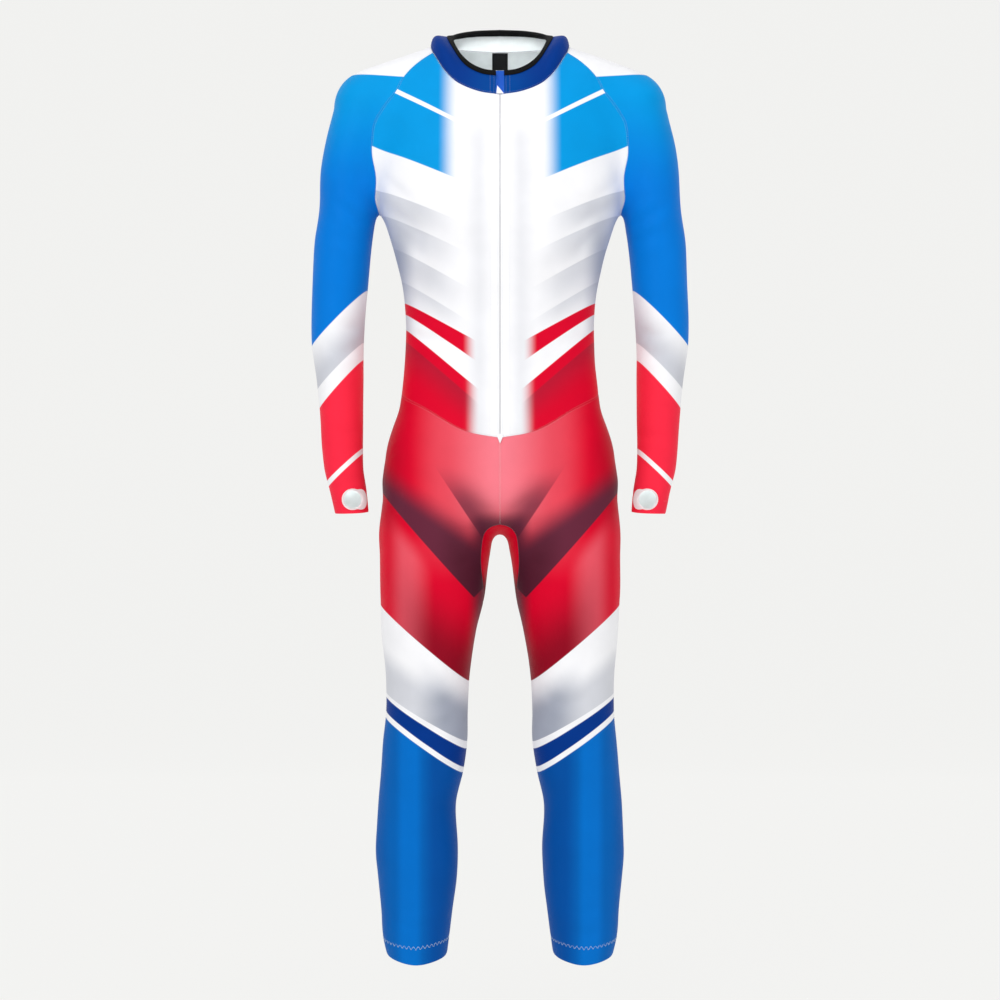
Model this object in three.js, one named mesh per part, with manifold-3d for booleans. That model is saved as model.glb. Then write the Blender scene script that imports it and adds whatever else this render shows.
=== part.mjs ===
// One-piece race ski suit, filled out and hollow, built from the pieces it is cut and sewn from.
// Millimetres, +Z up, the front faces -Y. The origin is between the shoulders, at the base of the neck.
import * as THREE from 'three';
import { mergeVertices } from 'three/addons/utils/BufferGeometryUtils.js';
import Module from 'manifold-3d';

const wasm = await Module();
wasm.setup();

// Cloth and seams
const clothWall = 2.0;
const seamGap = 0.3;
const zipEdgeGap = 1.0;

// Rows and columns of facets in each piece
const count = {
  frontAcross: 9, sleeveTop: 6, backHalf: 8, raglan: 13, sideSeam: 11, underarm: 17,
  crotchSeam: 5, gussetEdge: 4, gussetEnd: 2, inseam: 14, collarRows: 4,
};

// Sections of the filled suit, one row for each height.
// x and y place the middle of a section, power 2 is an ellipse and more is squarer.
const columns = ['z', 'x', 'halfWidth', 'y', 'halfDepth', 'power'];
const trunkTable = [
  [62, 0, 88, 14, 52, 2.0],
  [50, 0, 98, 14, 54, 2.0],
  [42, 0, 122, 14, 58, 2.0],
  [30, 0, 156, 14, 64, 2.05],
  [18, 0, 184, 13, 71, 2.1],
  [4, 0, 202, 12, 78, 2.15],
  [-16, 0, 211, 11, 86, 2.2],
  [-50, 0, 206, 9, 97, 2.2],
  [-110, 0, 197, 6, 109, 2.25],
  [-160, 0, 191, 2, 114, 2.3],
  [-206, 0, 187, 0, 115, 2.3],
  [-245, 0, 175, -2, 112, 2.3],
  [-289, 0, 161.5, -4, 106, 2.25],
  [-335, 0, 151, -5, 99, 2.2],
  [-382, 0, 147, -5, 94, 2.2],
  [-413, 0, 147, -5, 93, 2.2],
  [-460, 0, 149, -4, 95, 2.2],
  [-515, 0, 156, 0, 101, 2.2],
  [-554, 0, 165, 4, 107, 2.2],
  [-593, 0, 174, 7, 112, 2.2],
  [-630, 0, 178, 9, 114, 2.2],
];
const armTable = [
  [-50, 215, 45, 8, 58, 2.0],
  [-101, 227, 45, 8, 60, 2.0],
  [-148, 234.5, 45.5, 8, 60, 2.0],
  [-206, 238, 45, 8, 58, 2.0],
  [-260, 245, 45, 8, 55, 2.0],
  [-338, 251, 43, 8, 51, 2.0],
  [-413, 254, 40.8, 7, 47, 2.0],
  [-476, 250, 36.5, 2, 43, 2.0],
  [-515, 247.7, 34.3, -2, 41, 2.0],
  [-611, 243.5, 30.5, -14, 35, 2.0],
  [-650, 235.5, 28.5, -18, 33, 2.0],
  [-690, 229, 26, -21, 31, 2.0],
];
const legTable = [
  [-560, 88, 76, 4, 98, 2.1],
  [-600, 92, 82, 6, 103, 2.1],
  [-682, 98, 88, 8, 105, 2.1],
  [-714, 100.3, 88.6, 8, 103, 2.1],
  [-749, 102, 86, 7, 99, 2.1],
  [-819, 106.4, 80.6, 5, 91, 2.1],
  [-866, 110.9, 74, 3, 85, 2.1],
  [-936, 112.8, 65.5, 0, 75, 2.1],
  [-991, 114.3, 63.6, -1, 68, 2.1],
  [-1037, 116.4, 65.6, 1, 64, 2.1],
  [-1084, 121.5, 64.5, 5, 62, 2.1],
  [-1139, 130, 61, 11, 62, 2.1],
  [-1209, 130, 64, 13, 61, 2.1],
  [-1256, 129.5, 61.5, 11, 58, 2.1],
  [-1303, 130, 56, 7, 53, 2.1],
  [-1342, 131, 52, 4, 50, 2.1],
  [-1380, 129, 45, 2, 47, 2.1],
];

// Rounded ends of the tubes: where the round starts and how far it reaches
const trunkEnd = { bottom: { z: -630, height: 84 } };
const armEnd = { top: { z: -50, height: 49 } };
const legEnd = { top: { z: -600, height: 90 } };

// Softness of the valleys where tubes of cloth run together
const valley = { armpit: 20, shoulder: 54, armpitZ: -225, shoulderZ: -110, hip: 20, crotch: 14 };

// Corners where seams meet, on the side that is at the viewer's right
const corner = {
  neckFront: [0, -87, -45.5],
  neckRaglanFront: [100.6, -20, 17],
  neckCrest: [105, 18, 45],
  neckRaglanBack: [90, 44, 52],
  neckBack: [0, 66, 50],
  underarm: [190, 8, -205],
  sleeveSide: [283, 8, -200],
  waistSide: [151, -3, -496],
  waistFront: [0, -100, -569],
  waistBack: [0, 95, -517],
  cuffOuter: [254, -14, -683],
  cuffInner: [203, -14, -681],
  crotchFront: [0, -52, -704],
  crotchBack: [0, 64, -704],
  gussetTipFront: [25, -1, -824],
  gussetTip: [25, 5, -824],
  gussetTipBack: [25, 11, -824],
  ankleInner: [84, 1, -1369],
  ankleOuter: [174, 1, -1367],
};

// Seam lines: the points between the corners, from the first corner to the second
const seamTable = {
  neckFront: ['neckFront', [[35, -83, -39], [65, -68, -27], [84, -48, -10]], 'neckRaglanFront'],
  neckShoulderFront: ['neckRaglanFront', [[104.5, -2, 33]], 'neckCrest'],
  neckShoulderBack: ['neckCrest', [[100, 32, 51]], 'neckRaglanBack'],
  neckBack: ['neckBack', [[30, 65, 50.5], [62, 58, 52]], 'neckRaglanBack'],
  raglanFront: ['neckRaglanFront',
    [[143.5, -44, -12], [161.5, -62, -33], [179, -74, -55], [194, -74, -82],
      [198, -68, -113], [198, -60, -133], [193, -42, -165], [190, -18, -193]], 'underarm'],
  raglanBack: ['neckRaglanBack',
    [[130, 74, 18], [158, 90, -20], [180, 94, -62], [193, 88, -105],
      [196, 74, -140], [193, 52, -172], [190, 28, -196]], 'underarm'],
  sleeveHead: ['neckCrest',
    [[136, 20, 39], [163, 20, 28], [183, 18, 19], [199, 16, 8], [222, 12, -4], [246, 8, -23],
      [261, 8, -55], [272, 8, -101], [279, 8, -148]], 'sleeveSide'],
  overarm: ['sleeveSide',
    [[290, 8, -260], [294, 8, -328], [295, 7, -413], [286, 2, -476], [282, -2, -515], [274, -12, -611],
      [264, -16, -650]], 'cuffOuter'],
  underarm: ['underarm',
    [[196, 8, -225], [200, 8, -260], [208, 8, -338], [213.5, 7, -413], [213.5, 2, -476],
      [213.5, -2, -515], [213, -12, -611], [207, -16, -650]], 'cuffInner'],
  side: ['underarm',
    [[175, 0, -245], [161.5, -4, -289], [151, -5, -335], [147, -5, -382], [147, -5, -413],
      [149, -4, -460]], 'waistSide'],
  waistFront: ['waistFront', [[52, -96, -558.5], [104, -76, -529]], 'waistSide'],
  waistBack: ['waistBack', [[60, 90, -514], [112, 66, -505]], 'waistSide'],
  crotchFront: ['waistFront', [[0, -104, -620], [0, -90, -670]], 'crotchFront'],
  crotchBack: ['waistBack', [[0, 112, -580], [0, 112, -640], [0, 92, -680]], 'crotchBack'],
  gussetFront: ['crotchFront', [[20, -52, -724], [30, -42, -764]], 'gussetTipFront'],
  gussetBack: ['crotchBack', [[20, 62, -724], [30, 50, -764]], 'gussetTipBack'],
  gussetEndFront: ['gussetTipFront', [], 'gussetTip'],
  gussetEndBack: ['gussetTipBack', [], 'gussetTip'],
  inseam: ['gussetTip',
    [[36.7, 3, -866], [47.6, 0, -936], [50.7, -1, -991], [50.7, 1, -1037], [57, 5, -1084],
      [70, 11, -1139], [66, 12, -1209], [68, 11, -1256], [74, 7, -1303],
      [79, 4, -1342]], 'ankleInner'],
  legSide: ['waistSide',
    [[165, 4, -554], [175, 7, -593], [182, 8, -650], [188, 8, -714], [188, 7, -749],
      [187, 5, -819], [184.5, 3, -881], [178, 0, -936], [177, -1, -978], [182, 1, -1037],
      [187, 5, -1090], [192, 12, -1160], [194, 13, -1209], [191, 11, -1256], [186, 7, -1303],
      [183, 4, -1342]], 'ankleOuter'],
  ankleFront: ['ankleInner', [[100, -38, -1377], [129, -46, -1381], [158, -36, -1377]], 'ankleOuter'],
  ankleBack: ['ankleInner', [[100, 40, -1369], [129, 48, -1370], [158, 40, -1369]], 'ankleOuter'],
  cuffFront: ['cuffInner', [[212, -40, -683], [229, -51, -684], [247, -40, -684]], 'cuffOuter'],
  cuffBack: ['cuffInner', [[212, 4, -681], [229, 10, -681], [247, 4, -682]], 'cuffOuter'],
};

// Facets along each seam line
const seamCells = {
  neckFront: count.frontAcross, waistFront: count.frontAcross, ankleFront: count.frontAcross,
  neckBack: count.backHalf, waistBack: count.backHalf, ankleBack: count.backHalf,
  neckShoulderFront: count.sleeveTop, neckShoulderBack: count.sleeveTop,
  cuffFront: count.sleeveTop, cuffBack: count.sleeveTop,
  raglanFront: count.raglan, raglanBack: count.raglan,
  side: count.sideSeam, sleeveHead: count.raglan, underarm: count.underarm, overarm: count.underarm,
  crotchFront: count.crotchSeam, crotchBack: count.crotchSeam,
  gussetFront: count.gussetEdge, gussetBack: count.gussetEdge,
  gussetEndFront: count.gussetEnd, gussetEndBack: count.gussetEnd,
  inseam: count.inseam,
  legSide: count.crotchSeam + count.gussetEdge + count.gussetEnd + count.inseam,
};

// Collar: its rim, from the centre front round to the centre back
const collarRim = [
  [0, -71, -8], [25, -69, -4.5], [44, -61, 5.5], [60, -44, 23], [72, -16, 48],
  [74, 12, 62], [66, 38, 73], [40, 55, 81], [0, 62, 84],
];
const collar = {
  wall: 1.4, liningWall: 1.0, splitHalf: 6.2, middleZ: -60,
  swell: 3.5, sideSwell: 10, sideFrom: 62, sideTo: 100,
  bindingDepth: 7.5, bindingWall: 1.2, bindingRoom: 0.9, liningRoom: 1.5,
};

// Zip: two tapes and a coil behind the meeting edges of the fronts, and a slider under a small cover
const zip = { tapeHalf: 13, tapeWall: 1.0, coilHalf: 2.5, coilWall: 1.8, partGap: 0.3, frontY: -110 };
const zipCover = { halfBase: 5.6, bottom: 1.4, height: 16, apex: -4.2, wall: 1.0, lift: -0.2 };
const zipSlider = { left: -3.2, right: 1.4, bottom: 1.8, top: 8, near: -1.8, far: -4.3 };
const zipPull = { left: -4.3, right: -0.8, bottom: 2.2, top: 9.6, near: -0.6, far: -1.4 };
const zipGuard = { half: 8, depth: 6.1, wall: 1.0, above: 44, below: 30, rows: 7, hollowRadius: 80 };
const zipEnd = { halfWidth: 5, top: 6, point: -9, wall: 1.0, lift: 0.6 };

// Neck label, on the back just below the neck seam
const label = { wall: 1.0, halfWidth: 12.5, height: 28 };

// Round thumb hole in the front of each sleeve end, and the binding round it
const thumbHole = { x: 227, z: -662, radius: 14.5, turns: 28, cutFrom: -90, cutTo: -18 };
const thumbBinding = { width: 3.6, wall: 1.2, lift: 0.4 };

// Colours of the cloth and trims, with how rough each looks
const finish = {
  white: { color: 0xf2f3f6, roughness: 0.55 },
  skyBlue: { color: 0x0a8fdc, roughness: 0.5 },
  red: { color: 0xd81030, roughness: 0.5 },
  royalBlue: { color: 0x0a3ca4, roughness: 0.5 },
  black: { color: 0x111216, roughness: 0.7 },
  plastic: { color: 0xe8e9ec, roughness: 0.35 },
};

const suit = new THREE.Group();

function addPiece(name, geometry, look) {
  const material = new THREE.MeshStandardMaterial({ ...look, metalness: 0 });
  const mesh = new THREE.Mesh(geometry, material);
  mesh.name = name;
  suit.add(mesh);
}

// The filled form of the suit

function namedRows(table) {
  return table.map((row) => Object.fromEntries(columns.map((key, i) => [key, row[i]])));
}

const trunkRows = namedRows(trunkTable);
const armRows = namedRows(armTable);
const legRows = namedRows(legTable);

function sectionAt(rows, z) {
  let i = 0;
  while (i < rows.length - 2 && z < rows[i + 1].z) {
    i += 1;
  }
  const upper = rows[i];
  const lower = rows[i + 1];
  const before = rows[Math.max(i - 1, 0)];
  const after = rows[Math.min(i + 2, rows.length - 1)];
  const span = upper.z - lower.z;
  const t = THREE.MathUtils.clamp((upper.z - z) / span, 0, 1);
  const section = {};
  for (const key of columns) {
    const startSlope = (span * (lower[key] - before[key])) / (before.z - lower.z);
    const endSlope = (span * (after[key] - upper[key])) / (upper.z - after.z);
    section[key] = (2 * t ** 3 - 3 * t ** 2 + 1) * upper[key]
      + (t ** 3 - 2 * t ** 2 + t) * startSlope
      + (3 * t ** 2 - 2 * t ** 3) * lower[key]
      + (t ** 3 - t ** 2) * endSlope;
  }
  return section;
}

// Signed distance, about, from a tube of sections: below 0 inside, 0 on the cloth
const onAxis = 1e-6;
function tubeDistance(rows, ends, x, y, z) {
  let level = z;
  let over = 0;
  if (ends.top && z > ends.top.z) {
    level = ends.top.z;
    over = (z - level) / ends.top.height;
  }
  if (ends.bottom && z < ends.bottom.z) {
    level = ends.bottom.z;
    over = (level - z) / ends.bottom.height;
  }
  const section = sectionAt(rows, level);
  const dx = x - section.x;
  const dy = y - section.y;
  const power = section.power;
  const across = Math.abs(dx / section.halfWidth) ** power + Math.abs(dy / section.halfDepth) ** power;
  const reach = Math.hypot(across ** (1 / power), over);
  const radius = Math.hypot(dx, dy, z - level);
  return reach < onAxis ? -section.halfDepth : radius * (1 - 1 / reach);
}

function softMinimum(a, b, softness) {
  const h = Math.max(softness - Math.abs(a - b), 0) / softness;
  return Math.min(a, b) - (h * h * softness) / 4;
}

function clothDistance(x, y, z) {
  const side = Math.abs(x);
  const trunk = tubeDistance(trunkRows, trunkEnd, x, y, z);
  const nearLeg = tubeDistance(legRows, legEnd, side, y, z);
  const farLeg = tubeDistance(legRows, legEnd, -side, y, z);
  const arm = tubeDistance(armRows, armEnd, side, y, z);
  const legs = softMinimum(nearLeg, farLeg, valley.crotch);
  const rise = THREE.MathUtils.smoothstep(z, valley.armpitZ, valley.shoulderZ);
  const armhole = THREE.MathUtils.lerp(valley.armpit, valley.shoulder, rise);
  return softMinimum(softMinimum(trunk, legs, valley.hip), arm, armhole);
}

const probe = 0.25;
function slopeAt(p) {
  return new THREE.Vector3(
    clothDistance(p.x + probe, p.y, p.z) - clothDistance(p.x - probe, p.y, p.z),
    clothDistance(p.x, p.y + probe, p.z) - clothDistance(p.x, p.y - probe, p.z),
    clothDistance(p.x, p.y, p.z + probe) - clothDistance(p.x, p.y, p.z - probe),
  ).divideScalar(2 * probe);
}

const projectionSteps = 14;
const longestStep = 40;
const leastSlopeSquared = 0.05;
function toCloth(point) {
  const p = point.clone();
  for (let i = 0; i < projectionSteps; i += 1) {
    const slope = slopeAt(p);
    const move = -clothDistance(p.x, p.y, p.z) / Math.max(slope.lengthSq(), leastSlopeSquared);
    p.add(slope.multiplyScalar(move).clampLength(0, longestStep));
  }
  return p;
}

function clothNormal(p) {
  return slopeAt(p).normalize();
}

// Lines on the cloth

function evenPoints(points, cells, land = toCloth) {
  const lengths = [0];
  for (let i = 1; i < points.length; i += 1) {
    lengths.push(lengths[i - 1] + points[i].distanceTo(points[i - 1]));
  }
  const total = lengths.at(-1);
  const even = [points[0].clone()];
  let k = 1;
  for (let i = 1; i < cells; i += 1) {
    const wanted = (total * i) / cells;
    while (lengths[k] < wanted) {
      k += 1;
    }
    const t = (wanted - lengths[k - 1]) / (lengths[k] - lengths[k - 1]);
    even.push(land(points[k - 1].clone().lerp(points[k], t)));
  }
  even.push(points.at(-1).clone());
  return even;
}

const cornerPoint = {};
for (const [name, place] of Object.entries(corner)) {
  cornerPoint[name] = toCloth(new THREE.Vector3(...place));
}

const fineSteps = 8;
function makeSeam(name) {
  const [from, between, to] = seamTable[name];
  const passed = between.map((place) => toCloth(new THREE.Vector3(...place)));
  const stops = [cornerPoint[from], ...passed, cornerPoint[to]];
  const curve = new THREE.CatmullRomCurve3(stops, false, 'centripetal');
  const dense = curve.getSpacedPoints(seamCells[name] * fineSteps).map(toCloth);
  dense[0] = cornerPoint[from];
  dense[dense.length - 1] = cornerPoint[to];
  return evenPoints(dense, seamCells[name]);
}

const seam = {};
for (const name of Object.keys(seamTable)) {
  seam[name] = makeSeam(name);
}

const zipSteps = 60;
const zipLine = (() => {
  const from = cornerPoint.neckFront;
  const to = cornerPoint.waistFront;
  const dense = [];
  for (let i = 0; i <= zipSteps; i += 1) {
    const z = THREE.MathUtils.lerp(from.z, to.z, i / zipSteps);
    dense.push(toCloth(new THREE.Vector3(0, zip.frontY, z)));
  }
  dense[0] = from;
  dense[zipSteps] = to;
  return evenPoints(dense, count.raglan + count.sideSeam);
})();

const mirrored = (line) => line.map((p) => new THREE.Vector3(-p.x, p.y, p.z));
const joined = (...lines) => lines.flatMap((line, i) => (i === 0 ? line : line.slice(1)));
const backwards = (line) => [...line].reverse();

// Panels: a grid of points between four seam lines, laid on the filled form

function panelGrid({ left, right, top, bottom, facing, bulge }) {
  const down = left.length - 1;
  const across = top.length - 1;
  const out = new THREE.Vector3(...facing);
  const corners = [top[0], top[across], bottom[0], bottom[across]];
  const grid = [top.map((p) => p.clone())];
  for (let i = 1; i < down; i += 1) {
    const v = i / down;
    const half = left[i].distanceTo(right[i]) / 2;
    let row = [left[i].clone()];
    for (let j = 1; j < across; j += 1) {
      const u = j / across;
      const p = new THREE.Vector3();
      p.addScaledVector(left[i], 1 - u).addScaledVector(right[i], u);
      p.addScaledVector(top[j], 1 - v).addScaledVector(bottom[j], v);
      p.addScaledVector(corners[0], -(1 - u) * (1 - v)).addScaledVector(corners[1], -u * (1 - v));
      p.addScaledVector(corners[2], -(1 - u) * v).addScaledVector(corners[3], -u * v);
      p.addScaledVector(out, Math.sin(Math.PI * u) * half * bulge);
      row.push(toCloth(p));
    }
    row.push(right[i].clone());
    row = evenPoints(row, across);
    grid.push(evenPoints(row, across));
  }
  grid.push(bottom.map((p) => p.clone()));
  return grid;
}

// Draws each edge of a panel in from its seam line, along the cloth
function trimmed(grid, gaps) {
  const lastRow = grid.length - 1;
  const lastColumn = grid[0].length - 1;
  const result = grid.map((row) => row.map((p) => p.clone()));
  const pull = (i, j, before, after, inner, gap) => {
    const along = after.clone().sub(before).normalize();
    const across = clothNormal(grid[i][j]).cross(along).normalize();
    const sign = Math.sign(across.dot(inner.clone().sub(grid[i][j])));
    result[i][j].addScaledVector(across, sign * gap);
  };
  for (let i = 0; i <= lastRow; i += 1) {
    const up = grid[Math.max(i - 1, 0)];
    const under = grid[Math.min(i + 1, lastRow)];
    pull(i, 0, up[0], under[0], grid[i][1], gaps.left);
    pull(i, lastColumn, up[lastColumn], under[lastColumn], grid[i][lastColumn - 1], gaps.right);
  }
  for (let j = 0; j <= lastColumn; j += 1) {
    const low = Math.max(j - 1, 0);
    const high = Math.min(j + 1, lastColumn);
    pull(0, j, grid[0][low], grid[0][high], grid[1][j], gaps.top);
    pull(lastRow, j, grid[lastRow][low], grid[lastRow][high], grid[lastRow - 1][j], gaps.bottom);
  }
  return result;
}

const sewn = seamGap / 2;
const allSewn = { left: sewn, right: sewn, top: sewn, bottom: sewn };

// A closed body between two grids of points, with its faces outwards
function bodyBetween(outer, inner) {
  const rows = outer.length;
  const across = outer[0].length;
  const last = across - 1;
  const points = [...outer.flat(), ...inner.flat()];
  const faces = [];
  const outerAt = (i, j) => i * across + j;
  const innerAt = (i, j) => rows * across + i * across + j;
  const quad = (a, b, c, d) => {
    faces.push([a, b, c], [a, c, d]);
  };
  for (let i = 0; i < rows - 1; i += 1) {
    for (let j = 0; j < across - 1; j += 1) {
      const falling = outer[i][j].distanceTo(outer[i + 1][j + 1]);
      const rising = outer[i + 1][j].distanceTo(outer[i][j + 1]);
      const ring = [[i, j], [i, j + 1], [i + 1, j + 1], [i + 1, j]];
      const turned = falling < rising ? ring : [...ring.slice(1), ring[0]];
      quad(...turned.map((cell) => outerAt(...cell)));
      const [a, b, c, d] = turned.map((cell) => innerAt(...cell));
      faces.push([a, c, b], [a, d, c]);
    }
    quad(outerAt(i, 0), outerAt(i + 1, 0), innerAt(i + 1, 0), innerAt(i, 0));
    quad(outerAt(i + 1, last), outerAt(i, last), innerAt(i, last), innerAt(i + 1, last));
  }
  for (let j = 0; j < across - 1; j += 1) {
    quad(outerAt(0, j + 1), outerAt(0, j), innerAt(0, j), innerAt(0, j + 1));
    quad(outerAt(rows - 1, j), outerAt(rows - 1, j + 1), innerAt(rows - 1, j + 1), innerAt(rows - 1, j));
  }
  return closedGeometry(points, faces);
}

function closedGeometry(points, faces) {
  let volume = 0;
  const product = new THREE.Vector3();
  for (const [a, b, c] of faces) {
    volume += points[a].dot(product.crossVectors(points[b], points[c]));
  }
  const ordered = volume < 0 ? faces.map(([a, b, c]) => [a, c, b]) : faces;
  const positions = points.flatMap((p) => [p.x, p.y, p.z]);
  const geometry = new THREE.BufferGeometry();
  geometry.setAttribute('position', new THREE.Float32BufferAttribute(positions, 3));
  geometry.setIndex(ordered.flat());
  return geometry;
}

// A grid moved inwards from the cloth's outer face
const sunk = (grid, depth) => grid.map((row) => row.map((p) => (
  p.clone().addScaledVector(clothNormal(p), -depth))));
const mirroredGrid = (grid) => grid.map(mirrored);
const clothWallBody = (grid) => bodyBetween(grid, sunk(grid, clothWall));

// Fronts, back, sleeves, legs and gusset

const frontGrid = trimmed(panelGrid({
  left: zipLine,
  right: joined(seam.raglanFront, seam.side),
  top: seam.neckFront,
  bottom: seam.waistFront,
  facing: [0, -1, 0],
  bulge: 0.3,
}), { ...allSewn, left: zipEdgeGap / 2 });

const backEdge = joined(seam.raglanBack, seam.side);
const backGrid = trimmed(panelGrid({
  left: mirrored(backEdge),
  right: backEdge,
  top: joined(backwards(mirrored(seam.neckBack)), seam.neckBack),
  bottom: joined(backwards(mirrored(seam.waistBack)), seam.waistBack),
  facing: [0, 1, 0],
  bulge: 0.6,
}), allSewn);

const sleeveFrontGrid = trimmed(panelGrid({
  left: joined(seam.raglanFront, seam.underarm),
  right: joined(seam.sleeveHead, seam.overarm),
  top: seam.neckShoulderFront,
  bottom: seam.cuffFront,
  facing: [0, -1, 0],
  bulge: 0.8,
}), allSewn);

const sleeveBackGrid = trimmed(panelGrid({
  left: joined(seam.raglanBack, seam.underarm),
  right: joined(seam.sleeveHead, seam.overarm),
  top: backwards(seam.neckShoulderBack),
  bottom: seam.cuffBack,
  facing: [0, 1, 0],
  bulge: 0.8,
}), allSewn);

const legFrontGrid = trimmed(panelGrid({
  left: joined(seam.crotchFront, seam.gussetFront, seam.gussetEndFront, seam.inseam),
  right: seam.legSide,
  top: seam.waistFront,
  bottom: seam.ankleFront,
  facing: [0, -1, 0],
  bulge: 0.8,
}), allSewn);

const legBackGrid = trimmed(panelGrid({
  left: joined(seam.crotchBack, seam.gussetBack, seam.gussetEndBack, seam.inseam),
  right: seam.legSide,
  top: seam.waistBack,
  bottom: seam.ankleBack,
  facing: [0, 1, 0],
  bulge: 0.8,
}), allSewn);

const gussetEnd = joined(seam.gussetEndFront, backwards(seam.gussetEndBack));
const gussetGrid = trimmed(panelGrid({
  left: backwards(mirrored(gussetEnd)),
  right: backwards(gussetEnd),
  top: joined(backwards(mirrored(seam.gussetBack)), seam.gussetBack),
  bottom: joined(backwards(mirrored(seam.gussetFront)), seam.gussetFront),
  facing: [0, 0, -1],
  bulge: 0.1,
}), allSewn);

// Collar: a leaning ring of cloth from the neck seam to the rim, open at the centre front

const throughPoints = (places) => new THREE.CatmullRomCurve3(
  places.map((place) => new THREE.Vector3(...place)), false, 'centripetal');

// Starts a half ring of points at the split instead of at the centre line
function startedAtSplit(line) {
  const t = collar.splitHalf / line[1].x;
  return [line[0].clone().lerp(line[1], t), ...line.slice(1)];
}

const neckHalf = startedAtSplit(joined(
  seam.neckFront, seam.neckShoulderFront, seam.neckShoulderBack,
  backwards(seam.neckBack)));
const rimHalf = (() => {
  const base = [0];
  for (let i = 1; i < neckHalf.length; i += 1) {
    base.push(base[i - 1] + neckHalf[i].distanceTo(neckHalf[i - 1]));
  }
  const curve = throughPoints(collarRim);
  const start = collar.splitHalf / curve.getLength();
  return base.map((length) => curve.getPointAt(start + (1 - start) * (length / base.at(-1))));
})();
const wholeRing = (half) => [...half, ...backwards(mirrored(half)).slice(1)];
const neckRing = wholeRing(neckHalf);
const rimRing = wholeRing(rimHalf);

function ringNormals(grid) {
  const lastRow = grid.length - 1;
  const lastColumn = grid[0].length - 1;
  return grid.map((row, i) => row.map((p, j) => {
    const along = row[Math.min(j + 1, lastColumn)].clone().sub(row[Math.max(j - 1, 0)]);
    const up = grid[Math.min(i + 1, lastRow)][j].clone().sub(grid[Math.max(i - 1, 0)][j]);
    const normal = along.cross(up).normalize();
    const fromMiddle = new THREE.Vector3(p.x, p.y, p.z - collar.middleZ);
    return normal.dot(fromMiddle) < 0 ? normal.negate() : normal;
  }));
}

// The collar swells a little all round, and more at its sides, a third of the way up
const lowSwellScale = 27 / 4;
const lowSwell = (v) => lowSwellScale * v * (1 - v) ** 2;

const straightCollar = [neckRing, rimRing];
const straightNormals = ringNormals(straightCollar)[0];
const collarGrid = [];
for (let i = 0; i <= count.collarRows; i += 1) {
  const v = i / count.collarRows;
  collarGrid.push(neckRing.map((p, j) => {
    const up = rimRing[j].clone().sub(p).normalize();
    const side = THREE.MathUtils.smoothstep(Math.abs(p.x), collar.sideFrom, collar.sideTo);
    const swell = collar.swell * Math.sin(Math.PI * v) + collar.sideSwell * side * lowSwell(v);
    const point = p.clone().lerp(rimRing[j], v).addScaledVector(up, sewn * (1 - v));
    return point.addScaledVector(straightNormals[j], swell);
  }));
}
const collarNormals = ringNormals(collarGrid);
const collarAt = (depth) => collarGrid.map((row, i) => row.map((p, j) => (
  p.clone().addScaledVector(collarNormals[i][j], -depth))));
const liningDepth = collar.wall + seamGap;
const collarDepth = liningDepth + collar.liningWall;

addPiece('collar', bodyBetween(collarGrid, collarAt(collar.wall)), finish.royalBlue);
addPiece('collar_lining', bodyBetween(collarAt(liningDepth), collarAt(collarDepth)), finish.white);

// A closed body swept through sections of like points, as a ring or with two ends
function sweptBody(sections, endQuads) {
  const sides = sections[0].length;
  const isRing = endQuads.length === 0;
  const points = sections.flat();
  const faces = [];
  const at = (i, k) => (i % sections.length) * sides + (k % sides);
  const spans = isRing ? sections.length : sections.length - 1;
  for (let i = 0; i < spans; i += 1) {
    for (let k = 0; k < sides; k += 1) {
      faces.push([at(i, k), at(i + 1, k), at(i + 1, k + 1)]);
      faces.push([at(i, k), at(i + 1, k + 1), at(i, k + 1)]);
    }
  }
  const last = sections.length - 1;
  for (const [a, b, c, d] of endQuads) {
    faces.push([at(0, a), at(0, b), at(0, c)], [at(0, a), at(0, c), at(0, d)]);
    faces.push([at(last, c), at(last, b), at(last, a)], [at(last, d), at(last, c), at(last, a)]);
  }
  return closedGeometry(points, faces);
}

// Binding folded over the rim, a deep U in section
const bindingSections = collarGrid.at(-1).map((p, j) => {
  const below = collarGrid.at(-2)[j];
  const up = p.clone().sub(below).normalize();
  const out = collarNormals.at(-1)[j];
  const part = collar.bindingDepth / p.distanceTo(below);
  const foot = p.clone().lerp(below, part);
  const footOut = out.clone().lerp(collarNormals.at(-2)[j], part);
  const atFoot = (across) => foot.clone().addScaledVector(footOut, across);
  const above = (across, height) => p.clone().addScaledVector(out, across).addScaledVector(up, height);
  const near = collar.bindingRoom;
  const far = -collarDepth - collar.liningRoom;
  const wall = collar.bindingWall;
  const top = collar.bindingRoom;
  return [
    atFoot(near), atFoot(near + wall), above(near + wall, top + wall), above(far - wall, top + wall),
    atFoot(far - wall), atFoot(far), above(far, top), above(near, top),
  ];
});
const bindingEnds = [[0, 1, 2, 7], [7, 2, 3, 6], [6, 3, 4, 5]];
addPiece('collar_binding', sweptBody(bindingSections, bindingEnds), finish.black);

// Zip: tapes and coil are made from the points of the fronts' inner faces

const frontInner = sunk(frontGrid, clothWall);
const frontNormals = frontGrid.map((row) => clothNormal(row[0]));

function zipPoint(i, fromCentre, depth) {
  const [edge, next] = frontInner[i];
  const t = (fromCentre - edge.x) / (next.x - edge.x);
  return edge.clone().lerp(next, t).addScaledVector(frontNormals[i], -depth);
}

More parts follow.
